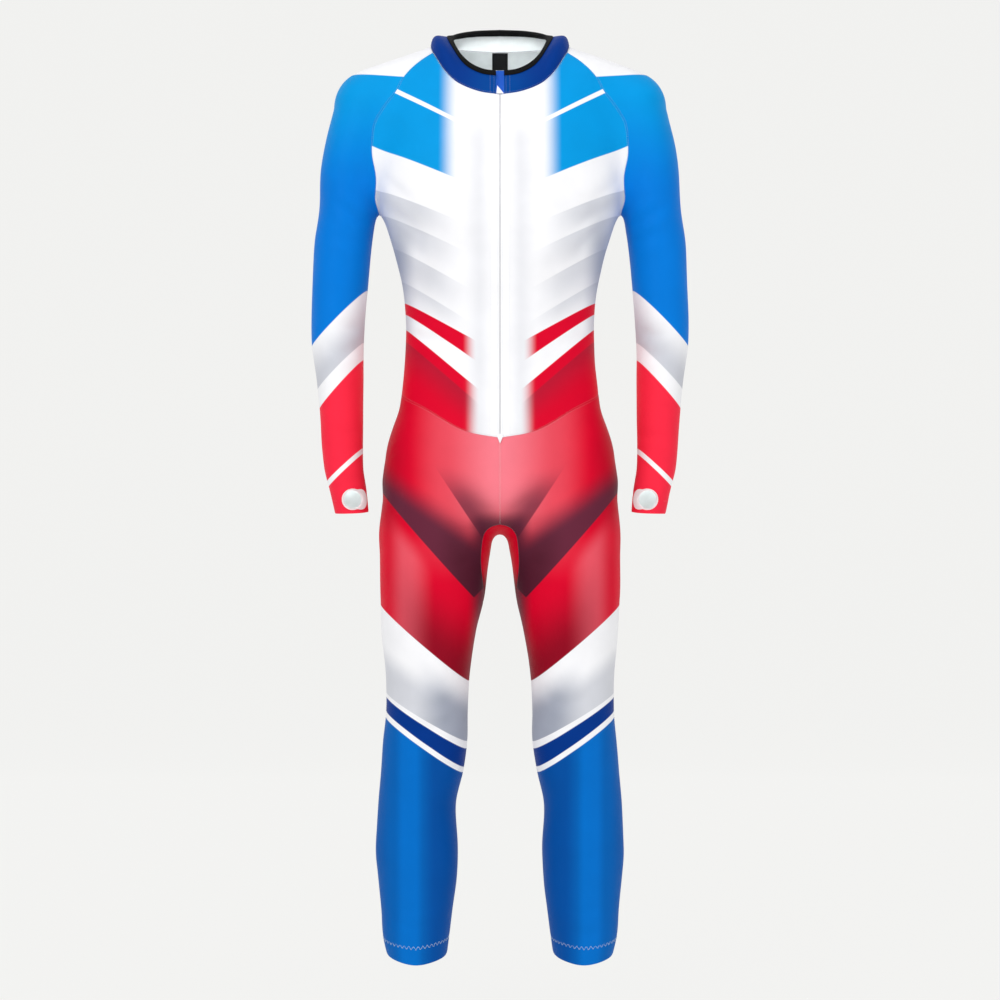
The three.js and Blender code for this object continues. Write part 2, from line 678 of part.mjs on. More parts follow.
const zipLayer = (offsets, depth) => frontInner.map((row, i) => offsets.map((offset) => {
  const p = zipPoint(i, Math.max(Math.abs(offset), zipEdgeGap / 2), depth);
  return new THREE.Vector3(offset, p.y, p.z);
}));
const coilColumns = [-zip.coilHalf, 0, zip.coilHalf];
const tapeColumns = [zip.coilHalf + zip.partGap, zip.tapeHalf];
const tapeOuter = zipLayer(tapeColumns, zip.partGap);
const tapeInner = zipLayer(tapeColumns, zip.partGap + zip.tapeWall);
addPiece('zip_coil',
  bodyBetween(zipLayer(coilColumns, zip.partGap), zipLayer(coilColumns, zip.partGap + zip.coilWall)),
  finish.plastic);

// Places small flat pieces on the centre front, by distances across, up and outwards
function centreFrontFrame(origin, up) {
  const across = new THREE.Vector3(1, 0, 0);
  const out = across.clone().cross(up).normalize();
  return new THREE.Matrix4().makeBasis(across, up, out).setPosition(origin);
}

const neckOrigin = cornerPoint.neckFront;
const rimFront = new THREE.Vector3(...collarRim[0]);
const splitFrame = centreFrontFrame(neckOrigin, rimFront.clone().sub(neckOrigin).normalize());

function flatPiece(outline, wall, lift, frame) {
  const shape = new THREE.Shape(outline.map(([x, y]) => new THREE.Vector2(x, y)));
  const geometry = new THREE.ExtrudeGeometry(shape, { depth: wall, bevelEnabled: false });
  geometry.translate(0, 0, lift);
  return geometry.applyMatrix4(frame);
}

function blockPiece(part, frame) {
  const outline = [[part.left, part.bottom], [part.right, part.bottom], [part.right, part.top],
    [part.left, part.top]];
  return flatPiece(outline, part.near - part.far, part.far, frame);
}

const coverOutline = [
  [-zipCover.halfBase, zipCover.bottom], [zipCover.halfBase, zipCover.bottom],
  [zipCover.apex, zipCover.height],
];
addPiece('zip_cover', flatPiece(coverOutline, zipCover.wall, zipCover.lift, splitFrame), finish.white);
addPiece('zip_slider', blockPiece(zipSlider, splitFrame), finish.plastic);
addPiece('zip_pull', blockPiece(zipPull, splitFrame), finish.plastic);

const waistOrigin = cornerPoint.waistFront;
const waistNormal = clothNormal(waistOrigin).setX(0).normalize();
const waistUp = waistNormal.clone().cross(new THREE.Vector3(1, 0, 0)).normalize();
const waistFrame = centreFrontFrame(waistOrigin, waistUp);
const endOutline = [[-zipEnd.halfWidth, zipEnd.top], [0, zipEnd.point], [zipEnd.halfWidth, zipEnd.top]];
addPiece('zip_end_tab', flatPiece(endOutline, zipEnd.wall, zipEnd.lift, waistFrame), finish.white);

// Guard: a strip of cloth behind the split, from above the rim down behind the zip
const guardColumns = [-zipGuard.half, 0, zipGuard.half];
function guardLayer(depth) {
  const rows = [];
  for (let i = 0; i < zipGuard.rows; i += 1) {
    const along = THREE.MathUtils.lerp(zipGuard.above, -zipGuard.below, i / (zipGuard.rows - 1));
    const onSplit = new THREE.Vector3(0, along, 0).applyMatrix4(splitFrame);
    const line = along > 0 ? onSplit : toCloth(onSplit);
    rows.push(guardColumns.map((x) => {
      const round = x ** 2 / (2 * zipGuard.hollowRadius);
      return new THREE.Vector3(x, line.y + depth + round, line.z);
    }));
  }
  return rows;
}
addPiece('zip_guard',
  bodyBetween(guardLayer(zipGuard.depth), guardLayer(zipGuard.depth + zipGuard.wall)), finish.royalBlue);

// Neck label, made from the inner face of the back
const backInner = sunk(backGrid, clothWall);
function labelLayer(depth) {
  const middle = count.backHalf;
  const down = label.height / backInner[0][middle].distanceTo(backInner[1][middle]);
  const atRow = (row) => [-1, 0, 1].map((step) => {
    const next = row[middle + step];
    const t = step === 0 ? 0 : label.halfWidth / Math.abs(next.x);
    return row[middle].clone().lerp(next, t);
  });
  const [upper, lower] = [atRow(backInner[0]), atRow(backInner[1])];
  const bottom = upper.map((p, j) => p.clone().lerp(lower[j], down));
  return [upper, bottom].map((row) => row.map((p) => p.addScaledVector(clothNormal(p), -depth)));
}
addPiece('neck_label',
  bodyBetween(labelLayer(seamGap), labelLayer(seamGap + label.wall)), finish.black);

// Thumb hole, cut through the front of the sleeve end, with a binding round it

const weldDistance = 1e-4;
function toSolid(geometry) {
  const plain = geometry.clone();
  plain.deleteAttribute('normal');
  plain.deleteAttribute('uv');
  const merged = mergeVertices(plain, weldDistance);
  const vertProperties = new Float32Array(merged.attributes.position.array);
  const triVerts = new Uint32Array(merged.index.array);
  return new wasm.Manifold(new wasm.Mesh({ numProp: 3, vertProperties, triVerts }));
}

function toGeometry(solid) {
  const { vertProperties, triVerts } = solid.getMesh();
  const geometry = new THREE.BufferGeometry();
  geometry.setAttribute('position', new THREE.BufferAttribute(vertProperties, 3));
  geometry.setIndex(new THREE.BufferAttribute(triVerts, 1));
  return geometry;
}

// Directions from the middle of the hole to each point of its rim
const thumbSpokes = Array.from({ length: thumbHole.turns }, (_, k) => {
  const angle = (2 * Math.PI * k) / thumbHole.turns;
  return new THREE.Vector3(Math.cos(angle), 0, Math.sin(angle));
});
const thumbMiddle = new THREE.Vector3(thumbHole.x, 0, thumbHole.z);
const thumbRim = thumbSpokes.map((spoke) => (
  thumbMiddle.clone().addScaledVector(spoke, thumbHole.radius)));

function thumbHoleTool() {
  const outline = new THREE.Shape(thumbRim.map((p) => new THREE.Vector2(p.x, p.z)));
  const depth = thumbHole.cutTo - thumbHole.cutFrom;
  const tool = new THREE.ExtrudeGeometry(outline, { depth, bevelEnabled: false });
  return tool.rotateX(Math.PI / 2).translate(0, thumbHole.cutTo, 0);
}

// Moves a point straight back until it is on the front of the sleeve
const beforeSleeve = -70;
const leastFacing = -0.3;
function frontOfSleeve({ x, z }) {
  let y = beforeSleeve;
  for (let i = 0; i < projectionSteps; i += 1) {
    const slope = (clothDistance(x, y + probe, z) - clothDistance(x, y - probe, z)) / (2 * probe);
    y -= clothDistance(x, y, z) / Math.min(slope, leastFacing);
  }
  return new THREE.Vector3(x, y, z);
}

const thumbBindingSections = thumbRim.map((place, k) => {
  const edge = frontOfSleeve(place);
  const wide = toCloth(edge.clone().addScaledVector(thumbSpokes[k], thumbBinding.width));
  const low = thumbBinding.lift;
  const high = low + thumbBinding.wall;
  return [[edge, low], [edge, high], [wide, high], [wide, low]].map(([p, lift]) => (
    p.clone().addScaledVector(clothNormal(p), lift)));
});

const wholeSleeveFront = toSolid(clothWallBody(sleeveFrontGrid));
const sleeveFrontBody = toGeometry(wholeSleeveFront.subtract(toSolid(thumbHoleTool())));

// Each piece that comes in a pair: left is at the viewer's right
const mirrorAcross = new THREE.Matrix4().makeScale(-1, 1, 1);
function mirroredGeometry(geometry) {
  const copy = geometry.clone().applyMatrix4(mirrorAcross);
  const index = copy.index.array;
  for (let i = 0; i < index.length; i += 3) {
    [index[i], index[i + 1]] = [index[i + 1], index[i]];
  }
  return copy;
}
const hands = [
  { name: 'left', place: (grid) => grid, solid: (geometry) => geometry },
  { name: 'right', place: mirroredGrid, solid: mirroredGeometry },
];

addPiece('back', clothWallBody(backGrid), finish.white);
addPiece('crotch_gusset', clothWallBody(gussetGrid), finish.red);
for (const hand of hands) {
  addPiece(`front_${hand.name}`, clothWallBody(hand.place(frontGrid)), finish.white);
  addPiece(`sleeve_front_${hand.name}`, hand.solid(sleeveFrontBody), finish.skyBlue);
  addPiece(`sleeve_back_${hand.name}`, clothWallBody(hand.place(sleeveBackGrid)), finish.skyBlue);
  addPiece(`leg_front_${hand.name}`, clothWallBody(hand.place(legFrontGrid)), finish.red);
  addPiece(`leg_back_${hand.name}`, clothWallBody(hand.place(legBackGrid)), finish.red);
  const tape = bodyBetween(hand.place(tapeOuter), hand.place(tapeInner));
  addPiece(`zip_tape_${hand.name}`, tape, finish.white);
  const rim = sweptBody(hand.place(thumbBindingSections), []);
  addPiece(`thumb_binding_${hand.name}`, rim, finish.white);
}

export default suit;
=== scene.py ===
"""One-piece race suit in printed stretch cloth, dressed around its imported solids.

The cloth lies on the same filled-out form as the solids, from the same tables, in millimetres.
Each panel is a thin shell with its folds, its sewn edges and its printed colours.
"""

import functools
import math

import bmesh
import bpy
import numpy as np
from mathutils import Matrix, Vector


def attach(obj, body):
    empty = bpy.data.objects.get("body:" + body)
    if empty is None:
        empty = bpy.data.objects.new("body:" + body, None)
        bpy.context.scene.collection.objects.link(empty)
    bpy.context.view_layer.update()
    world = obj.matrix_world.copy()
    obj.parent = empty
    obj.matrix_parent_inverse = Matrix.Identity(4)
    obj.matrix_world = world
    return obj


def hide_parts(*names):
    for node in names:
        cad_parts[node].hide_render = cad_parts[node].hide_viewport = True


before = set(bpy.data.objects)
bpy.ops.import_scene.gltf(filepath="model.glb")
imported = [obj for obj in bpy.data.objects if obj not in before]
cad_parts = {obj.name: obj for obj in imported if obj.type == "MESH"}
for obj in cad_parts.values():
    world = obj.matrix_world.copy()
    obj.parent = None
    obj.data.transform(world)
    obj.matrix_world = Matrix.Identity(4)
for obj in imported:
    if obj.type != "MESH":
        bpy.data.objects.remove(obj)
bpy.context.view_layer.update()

bl_info = {
    "name": "One-Piece Race Suit",
    "version": (1, 0, 0),
    "blender": (4, 5, 0),
    "location": "View3D > Sidebar > Race Suit",
    "description": "Builds a filled-out one-piece ski suit in printed stretch cloth",
    "category": "Add Mesh",
}

MM = 0.001
SHARP = 50
BODY = "root"
MIRROR = np.array([-1.0, 1.0, 1.0])

# Sections of the filled suit: height, middle across, half width, middle in depth, half depth, power
TRUNK = np.array([
    [62, 0, 88, 14, 52, 2.0],
    [50, 0, 98, 14, 54, 2.0],
    [42, 0, 122, 14, 58, 2.0],
    [30, 0, 156, 14, 64, 2.05],
    [18, 0, 184, 13, 71, 2.1],
    [4, 0, 202, 12, 78, 2.15],
    [-16, 0, 211, 11, 86, 2.2],
    [-50, 0, 206, 9, 97, 2.2],
    [-110, 0, 197, 6, 109, 2.25],
    [-160, 0, 191, 2, 114, 2.3],
    [-206, 0, 187, 0, 115, 2.3],
    [-245, 0, 175, -2, 112, 2.3],
    [-289, 0, 161.5, -4, 106, 2.25],
    [-335, 0, 151, -5, 99, 2.2],
    [-382, 0, 147, -5, 94, 2.2],
    [-413, 0, 147, -5, 93, 2.2],
    [-460, 0, 149, -4, 95, 2.2],
    [-515, 0, 156, 0, 101, 2.2],
    [-554, 0, 165, 4, 107, 2.2],
    [-593, 0, 174, 7, 112, 2.2],
    [-630, 0, 178, 9, 114, 2.2],
])
ARM = np.array([
    [-50, 215, 45, 8, 58, 2.0],
    [-101, 227, 45, 8, 60, 2.0],
    [-148, 234.5, 45.5, 8, 60, 2.0],
    [-206, 238, 45, 8, 58, 2.0],
    [-260, 245, 45, 8, 55, 2.0],
    [-338, 251, 43, 8, 51, 2.0],
    [-413, 254, 40.8, 7, 47, 2.0],
    [-476, 250, 36.5, 2, 43, 2.0],
    [-515, 247.7, 34.3, -2, 41, 2.0],
    [-611, 243.5, 30.5, -14, 35, 2.0],
    [-650, 235.5, 28.5, -18, 33, 2.0],
    [-690, 229, 26, -21, 31, 2.0],
])
LEG = np.array([
    [-560, 88, 76, 4, 98, 2.1],
    [-600, 92, 82, 6, 103, 2.1],
    [-682, 98, 88, 8, 105, 2.1],
    [-714, 100.3, 88.6, 8, 103, 2.1],
    [-749, 102, 86, 7, 99, 2.1],
    [-819, 106.4, 80.6, 5, 91, 2.1],
    [-866, 110.9, 74, 3, 85, 2.1],
    [-936, 112.8, 65.5, 0, 75, 2.1],
    [-991, 114.3, 63.6, -1, 68, 2.1],
    [-1037, 116.4, 65.6, 1, 64, 2.1],
    [-1084, 121.5, 64.5, 5, 62, 2.1],
    [-1139, 130, 61, 11, 62, 2.1],
    [-1209, 130, 64, 13, 61, 2.1],
    [-1256, 129.5, 61.5, 11, 58, 2.1],
    [-1303, 130, 56, 7, 53, 2.1],
    [-1342, 131, 52, 4, 50, 2.1],
    [-1380, 129, 45, 2, 47, 2.1],
])

# Rounded ends of the tubes: where the round starts and how far it reaches
TRUNK_BOTTOM = (-630, 84)
ARM_TOP = (-50, 49)
LEG_TOP = (-600, 90)

# Softness of the valleys where tubes of cloth run together
ARMPIT, SHOULDER, HIP, CROTCH = 20, 54, 20, 14
ARMPIT_Z, SHOULDER_Z = -225, -110

# Laying points on the form: reach of a slope's test, least slope and longest step
PROBE, LEAST_SLOPE_SQUARED, LONGEST_STEP = 0.25, 0.05, 40
ON_LINE, CHEST_FRONT = 14, 110

CORNERS = {
    "neck_front": (0, -87, -45.5),
    "neck_raglan_front": (100.6, -20, 17),
    "neck_crest": (105, 18, 45),
    "neck_raglan_back": (90, 44, 52),
    "neck_back": (0, 66, 50),
    "underarm": (190, 8, -205),
    "sleeve_side": (283, 8, -200),
    "waist_side": (151, -3, -496),
    "waist_front": (0, -100, -569),
    "waist_back": (0, 95, -517),
    "cuff_outer": (254, -14, -683),
    "cuff_inner": (203, -14, -681),
    "crotch_front": (0, -52, -704),
    "crotch_back": (0, 64, -704),
    "tip_front": (25, -1, -824),
    "tip": (25, 5, -824),
    "tip_back": (25, 11, -824),
    "ankle_inner": (84, 1, -1369),
    "ankle_outer": (174, 1, -1367),
}

# Seam lines at the viewer's right: first corner, points between, last corner, cells along it
SEAMS = {
    "neck_front": ("neck_front", [(35, -83, -39), (65, -68, -27), (84, -48, -10)], "neck_raglan_front", 9),
    "neck_shoulder_front": ("neck_raglan_front", [(104.5, -2, 33)], "neck_crest", 6),
    "neck_shoulder_back": ("neck_crest", [(100, 32, 51)], "neck_raglan_back", 6),
    "neck_back": ("neck_back", [(30, 65, 50.5), (62, 58, 52)], "neck_raglan_back", 8),
    "raglan_front": (
        "neck_raglan_front",
        [(143.5, -44, -12), (161.5, -62, -33), (179, -74, -55), (194, -74, -82),
         (198, -68, -113), (198, -60, -133), (193, -42, -165), (190, -18, -193)],
        "underarm", 13,
    ),
    "raglan_back": (
        "neck_raglan_back",
        [(130, 74, 18), (158, 90, -20), (180, 94, -62), (193, 88, -105),
         (196, 74, -140), (193, 52, -172), (190, 28, -196)],
        "underarm", 13,
    ),
    "sleeve_head": (
        "neck_crest",
        [(136, 20, 39), (163, 20, 28), (183, 18, 19), (199, 16, 8), (222, 12, -4), (246, 8, -23),
         (261, 8, -55), (272, 8, -101), (279, 8, -148)],
        "sleeve_side", 13,
    ),
    "overarm": (
        "sleeve_side",
        [(290, 8, -260), (294, 8, -328), (295, 7, -413), (286, 2, -476), (282, -2, -515),
         (274, -12, -611), (264, -16, -650)],
        "cuff_outer", 17,
    ),
    "underarm": (
        "underarm",
        [(196, 8, -225), (200, 8, -260), (208, 8, -338), (213.5, 7, -413), (213.5, 2, -476),
         (213.5, -2, -515), (213, -12, -611), (207, -16, -650)],
        "cuff_inner", 17,
    ),
    "side": (
        "underarm",
        [(175, 0, -245), (161.5, -4, -289), (151, -5, -335), (147, -5, -382), (147, -5, -413),
         (149, -4, -460)],
        "waist_side", 11,
    ),
    "waist_front": ("waist_front", [(52, -96, -558.5), (104, -76, -529)], "waist_side", 9),
    "waist_back": ("waist_back", [(60, 90, -514), (112, 66, -505)], "waist_side", 8),
    "crotch_front": ("waist_front", [(0, -104, -620), (0, -90, -670)], "crotch_front", 5),
    "crotch_back": ("waist_back", [(0, 112, -580), (0, 112, -640), (0, 92, -680)], "crotch_back", 5),
    "gusset_front": ("crotch_front", [(20, -52, -724), (30, -42, -764)], "tip_front", 4),
    "gusset_back": ("crotch_back", [(20, 62, -724), (30, 50, -764)], "tip_back", 4),
    "gusset_end_front": ("tip_front", [], "tip", 2),
    "gusset_end_back": ("tip_back", [], "tip", 2),
    "inseam": (
        "tip",
        [(36.7, 3, -866), (47.6, 0, -936), (50.7, -1, -991), (50.7, 1, -1037), (57, 5, -1084),
         (70, 11, -1139), (66, 12, -1209), (68, 11, -1256), (74, 7, -1303), (79, 4, -1342)],
        "ankle_inner", 14,
    ),
    "leg_side": (
        "waist_side",
        [(165, 4, -554), (175, 7, -593), (182, 8, -650), (188, 8, -714), (188, 7, -749),
         (187, 5, -819), (184.5, 3, -881), (178, 0, -936), (177, -1, -978), (182, 1, -1037),
         (187, 5, -1090), (192, 12, -1160), (194, 13, -1209), (191, 11, -1256), (186, 7, -1303),
         (183, 4, -1342)],
        "ankle_outer", 25,
    ),
    "ankle_front": (
        "ankle_inner", [(100, -38, -1377), (129, -46, -1381), (158, -36, -1377)], "ankle_outer", 9,
    ),
    "ankle_back": ("ankle_inner", [(100, 40, -1369), (129, 48, -1370), (158, 40, -1369)], "ankle_outer", 8),
    "cuff_front": ("cuff_inner", [(212, -40, -683), (229, -51, -684), (247, -40, -684)], "cuff_outer", 6),
    "cuff_back": ("cuff_inner", [(212, 4, -681), (229, 10, -681), (247, 4, -682)], "cuff_outer", 6),
}
ZIP_CELLS = SEAMS["raglan_front"][3] + SEAMS["side"][3]

# Panels between four runs of seams: - turns a seam round and ~ mirrors it
PANELS = {
    "front": dict(
        left=["zip_line"], right=["raglan_front", "side"], top=["neck_front"], bottom=["waist_front"],
        facing=(0, -1, 0), bulge=0.3, fine=(7, 5),
    ),
    "back": dict(
        left=["~raglan_back", "~side"], right=["raglan_back", "side"], top=["-~neck_back", "neck_back"],
        bottom=["-~waist_back", "waist_back"], facing=(0, 1, 0), bulge=0.6, fine=(7, 5),
    ),
    "sleeve_front": dict(
        left=["raglan_front", "underarm"], right=["sleeve_head", "overarm"], top=["neck_shoulder_front"],
        bottom=["cuff_front"], facing=(0, -1, 0), bulge=0.8, fine=(6, 6),
    ),
    "sleeve_back": dict(
        left=["raglan_back", "underarm"], right=["sleeve_head", "overarm"], top=["-neck_shoulder_back"],
        bottom=["cuff_back"], facing=(0, 1, 0), bulge=0.8, fine=(6, 6),
    ),
    "leg_front": dict(
        left=["crotch_front", "gusset_front", "gusset_end_front", "inseam"], right=["leg_side"],
        top=["waist_front"], bottom=["ankle_front"], facing=(0, -1, 0), bulge=0.8, fine=(9, 5),
    ),
    "leg_back": dict(
        left=["crotch_back", "gusset_back", "gusset_end_back", "inseam"], right=["leg_side"],
        top=["waist_back"], bottom=["ankle_back"], facing=(0, 1, 0), bulge=0.8, fine=(9, 6),
    ),
    "crotch_gusset": dict(
        left=["~gusset_end_back", "-~gusset_end_front"], right=["gusset_end_back", "-gusset_end_front"],
        top=["-~gusset_back", "gusset_back"], bottom=["-~gusset_front", "gusset_front"],
        facing=(0, 0, -1), bulge=0.1, fine=(6, 7),
    ),
}
HEMMED = ("sleeve_front", "sleeve_back", "leg_front", "leg_back")

# Rows of points beside an edge, as parts of one cell, and the longest cell they are measured in
EDGE_ROWS = np.array([0.3, 0.9])
EDGE_CELL = 2.7
EDGE_GAP = 0.08

COLLAR_RIM = [
    (0, -71, -8), (25, -69, -4.5), (44, -61, 5.5), (60, -44, 23), (72, -16, 48),
    (74, 12, 62), (66, 38, 73), (40, 55, 81), (0, 62, 84),
]
COLLAR = dict(
    wall=1.4, lining_wall=1.0, gap=0.3, swell=3.5, side_swell=10, side_from=62, side_to=100,
    split_half=6.2, middle_z=-60, off_seam=0.15, ease=0.45, ease_width=1.2,
)
BINDING = dict(outer_depth=9.5, inner_depth=7.5, wall=1.2, room=0.4, lining_room=1.4, above=0.1, tip=0.6)

# The cloth beside its seams, where folds fade out and it dips in, and at its turned hems
SEAM_EDGE = dict(folds=0.35, fade=14, dip_width=1.3)
HEM_EDGE = dict(round=0.5, thinner=0.6, round_width=0.9, dip=0.3, dip_width=1.4)
LEAST_DEPTH = 0.4

ZIP = dict(tape_from=2.8, tape_to=13.0, tape_depth=2.3, tape_wall=1.0, coil_depth=2.8, edge=0.5)
PLACKET = dict(half=15.5, rise=0.5)
GUARD = dict(half=8, depth=6.1, wall=1.0, above=44, below=30, round=80, rows=30, columns=13)
LABEL = dict(half_width=12.5, height=28, depth=2.0, wall=0.7, below=0.6, rows=24, columns=19)
THUMB = dict(
    x=227, y=-60, z=-662, radius=14.5, points=56, cut=80,
    lip=1.9, wide_lip=9.5, reach=0.2, wall=0.8, clear=1.5,
)

# Stitches: how far each row is from its edge, how far rows stand out, and the zigzag's corners
STITCH = dict(
    beside=1.5, front=(3.2, 15.0), cuff=20, split=(3.0, 9.0), rim=1.8, lift=0.12, zigzag_step=3.6,
)

# Sizes for the rows of stitches and teeth, in metres
TOOTH_LENGTH, TOOTH_RADIUS, ZIGZAG_PITCH = 0.0046, 0.00046, 0.0017

# Folds: depth and half width of the trough, and three places on the cloth that it passes
FOLDS = [
    (2.4, 9, (184, -45, -212), (150, -92, -236), (116, -108, -266)),
    (1.8, 10, (181, -42, -236), (146, -88, -268), (122, -104, -306)),
    (1.5, 9, (190, -60, -170), (168, -92, -196), (140, -106, -214)),
    (2.0, 8, (202, -26, -232), (230, -48, -218), (262, -38, -196)),
    (1.6, 8, (204, -22, -262), (232, -46, -256), (264, -36, -244)),
    (1.5, 10, (148, -32, -372), (118, -76, -384), (84, -94, -380)),
    (1.7, 9, (147, -32, -410), (116, -76, -418), (78, -94, -430)),
    (1.2, 9, (150, -32, -448), (122, -76, -452), (92, -92, -466)),
    (1.5, 12, (166, -40, -548), (132, -86, -562), (98, -102, -594)),
    (2.2, 9, (14, -84, -690), (52, -98, -668), (98, -102, -636)),
    (1.8, 9, (18, -80, -708), (62, -98, -706), (108, -94, -690)),
    (1.4, 9, (26, -72, -742), (64, -92, -756), (102, -88, -752)),
    (1.6, 9, (58, -50, -958), (100, -74, -974), (146, -60, -966)),
    (1.3, 8, (62, -50, -996), (106, -68, -1006), (156, -52, -998)),
    (1.1, 8, (66, -46, -1034), (112, -62, -1042), (158, -46, -1036)),
    (1.3, 8, (88, -40, -1288), (128, -50, -1299), (168, -38, -1290)),
    (1.0, 7, (94, -38, -1322), (132, -48, -1330), (166, -36, -1324)),
    (1.7, 8, (214, -6, -392), (236, -40, -401), (264, -40, -394)),
    (1.5, 8, (214, -8, -424), (240, -38, -436), (270, -34, -430)),
    (1.1, 7, (214, -16, -560), (236, -42, -566), (260, -38, -560)),
    (1.1, 6, (214, -24, -606), (236, -46, -612), (258, -40, -606)),
    (2.0, 10, (186, 50, -205), (156, 92, -236), (120, 112, -262)),
    (1.6, 11, (182, 46, -232), (150, 88, -270), (128, 104, -312)),
    (1.6, 9, (196, 70, -130), (174, 96, -170), (140, 110, -196)),
    (1.8, 11, (148, 30, -404), (100, 78, -418), (40, 88, -414)),
    (1.5, 10, (150, 32, -446), (108, 76, -456), (52, 90, -462)),
    (2.0, 11, (26, 88, -752), (78, 106, -776), (136, 92, -768)),
    (1.5, 10, (30, 84, -800), (82, 98, -818), (140, 84, -812)),
    (2.2, 9, (58, 44, -976), (108, 68, -988), (160, 48, -978)),
    (1.9, 8, (60, 44, -1012), (112, 66, -1022), (162, 46, -1014)),
    (1.3, 8, (66, 44, -1052), (116, 66, -1060), (166, 50, -1052)),
    (1.3, 8, (90, 40, -1290), (130, 58, -1300), (168, 44, -1292)),
    (1.7, 9, (208, 40, -372), (244, 56, -388), (282, 38, -380)),
    (1.4, 9, (212, 36, -410), (246, 50, -424), (282, 34, -418)),
    (1.1, 7, (212, 6, -600), (238, 22, -608), (262, 12, -602)),
]
FOLD_SEED = 11
FOLD_SHIFT = (6, 2, 9)
FOLD_DEEPER, FOLD_WIDER = (0.65, 1.15), (0.9, 1.2)
FOLD_RIDGE, RIDGE_PLACE, FOLD_REACH, FOLD_TAPER = 0.38, 1.9, 4, 0.8

# Long soft unevenness: height, wavelength and direction of each wave
WAVES = [(0.45, 132, (0.4, 0.2, 0.9)), (0.35, 87, (0.8, 0.3, -0.5)), (0.25, 61, (-0.3, 0.6, 0.74))]


def colour(red, green, blue):
    """A colour given as it shows on a screen, 0 to 255, as Blender's linear values."""
    parts = [value / 255 for value in (red, green, blue)]
    return tuple(p / 12.92 if p <= 0.04045 else ((p + 0.055) / 1.055) ** 2.4 for p in parts)


def swatch(label, note, red, green, blue):
    """A colour setting."""
    return bpy.props.FloatVectorProperty(
        name=label, description=note, default=colour(red, green, blue), subtype="COLOR", min=0, max=1
    )


def number(label, note, default, low=0.0, high=1.0, **kind):
    """A number setting."""
    return bpy.props.FloatProperty(name=label, description=note, default=default, min=low, max=high, **kind)


def size(label, note, default, low=0.0, high=1.0):
    """A length setting, in metres."""
    return number(label, note, default, low, high, unit="LENGTH", precision=5)


class ClothSettings(bpy.types.PropertyGroup):
    """Thickness and folds of the cloth."""

    wall: size("Cloth", "Thickness of the cloth", 0.0015, 0.0005, 0.002)
    hem_wall: size("Hem", "Thickness of the cloth where it is turned up", 0.0021, 0.0005, 0.003)
    hem: size("Hem depth", "How far the cloth is turned up at sleeve and leg ends", 0.027, 0.01, 0.05)
    seam_dip: size("Seam dip", "How far the cloth dips into a seam", 0.00055, 0, 0.002)
    folds: number("Folds", "Depth of the folds, 1 as photographed", 1.0, 0, 2)


class PrintSettings(bpy.types.PropertyGroup):
    """Colours of the print and of the trims; some also serve as painted shade and painted highlights."""

    white: swatch("White", "White of the body, knees and forearms", 250, 250, 253)
    # Grey is printed shading on the white, and also painted shade along the torso's sides
    grey: swatch("Grey", "Soft grey shading on the white", 156, 162, 178)
    sky: swatch("Sky blue", "Blue of the shoulders", 1, 154, 226)
    # Blue is the sleeves' print, and also the painted highlight down the shins
    blue: swatch("Blue", "Blue of the sleeves", 0, 122, 219)
    shin: swatch("Shin blue", "Blue of the lower legs", 0, 98, 182)
    # Painted shade of the shins: darker blue on their inner sides and outer edges
    shin_shade: swatch("Deep blue", "Darker blue of the shins", 0, 76, 158)
    royal: swatch("Royal blue", "Blue of the collar and the knee stripe", 0, 54, 138)
    red: swatch("Red", "Red of the waist and the thighs", 224, 2, 44)
    coral: swatch("Bright red", "Red of the forearms", 252, 44, 70)
    # Light red is the print's fade, and also a painted highlight on the outer thighs
    pink: swatch("Light red", "Lighter red where the print fades", 250, 132, 146)
    # Plum is printed shading, and also painted shade at the crotch
    plum: swatch("Plum", "Dark shading on the red", 90, 40, 60)
    # Maroon is printed shading, and also painted shade at the outer hips
    maroon: swatch("Maroon", "Darkest red, above the knees", 56, 12, 26)
    lining: swatch("Lining", "Inside of the cloth", 240, 246, 246)
    guard: swatch("Zip guard", "Strip of cloth behind the collar's split", 20, 96, 214)
    black: swatch("Black", "Binding and label", 8, 8, 10)
    thumb: swatch("Thumb binding", "Binding round the thumb holes", 240, 226, 228)
    plastic: swatch("Zip", "Coil and slider", 196, 199, 208)


class SewingSettings(bpy.types.PropertyGroup):
    """Stitches and zip teeth."""

    pitch: size("Stitch pitch", "From one stitch to the next", 0.0032, 0.001, 0.01)
    stitch: size("Stitch length", "Length of one stitch", 0.0025, 0.0005, 0.01)
    thread: size("Thread", "Radius of the thread", 0.00022, 0.0001, 0.001)
    zigzag: size("Zigzag", "Half height of the zigzag on the leg hems", 0.0025, 0, 0.005)
    tooth_pitch: size("Tooth pitch", "From one turn of the zip's coil to the next", 0.0011, 0.0005, 0.004)


class StageSettings(bpy.types.PropertyGroup):
    """Backdrop, lights and camera."""

    backdrop: swatch("Backdrop", "Floor and wall", 64, 64, 63)
    distance: size("Camera distance", "From the middle of the suit to the camera", 3.3, 1, 10)
    lens: number("Lens", "Focal length, in millimetres", 76, 20, 200, subtype="DISTANCE_CAMERA")
    key: number("Key light", "Power of the main light", 54, 0, 1000, unit="POWER")
    fill: number("Fill light", "Power of the fill light", 24, 0, 1000, unit="POWER")
    glow: number("Backdrop glow", "Light given by the backdrop itself", 0.84)


# The filled form of the suit


def eased(t, start, leaving, end, arriving):
    """Places from start to end on a curve that leaves and arrives at these rates."""
    return (
        (2 * t**3 - 3 * t**2 + 1) * start
        + (t**3 - 2 * t**2 + t) * leaving
        + (3 * t**2 - 2 * t**3) * end
        + (t**3 - t**2) * arriving
    )


def unit(ways):
    """The same directions, each with a length of 1."""
    return ways / np.linalg.norm(ways, axis=-1, keepdims=True)


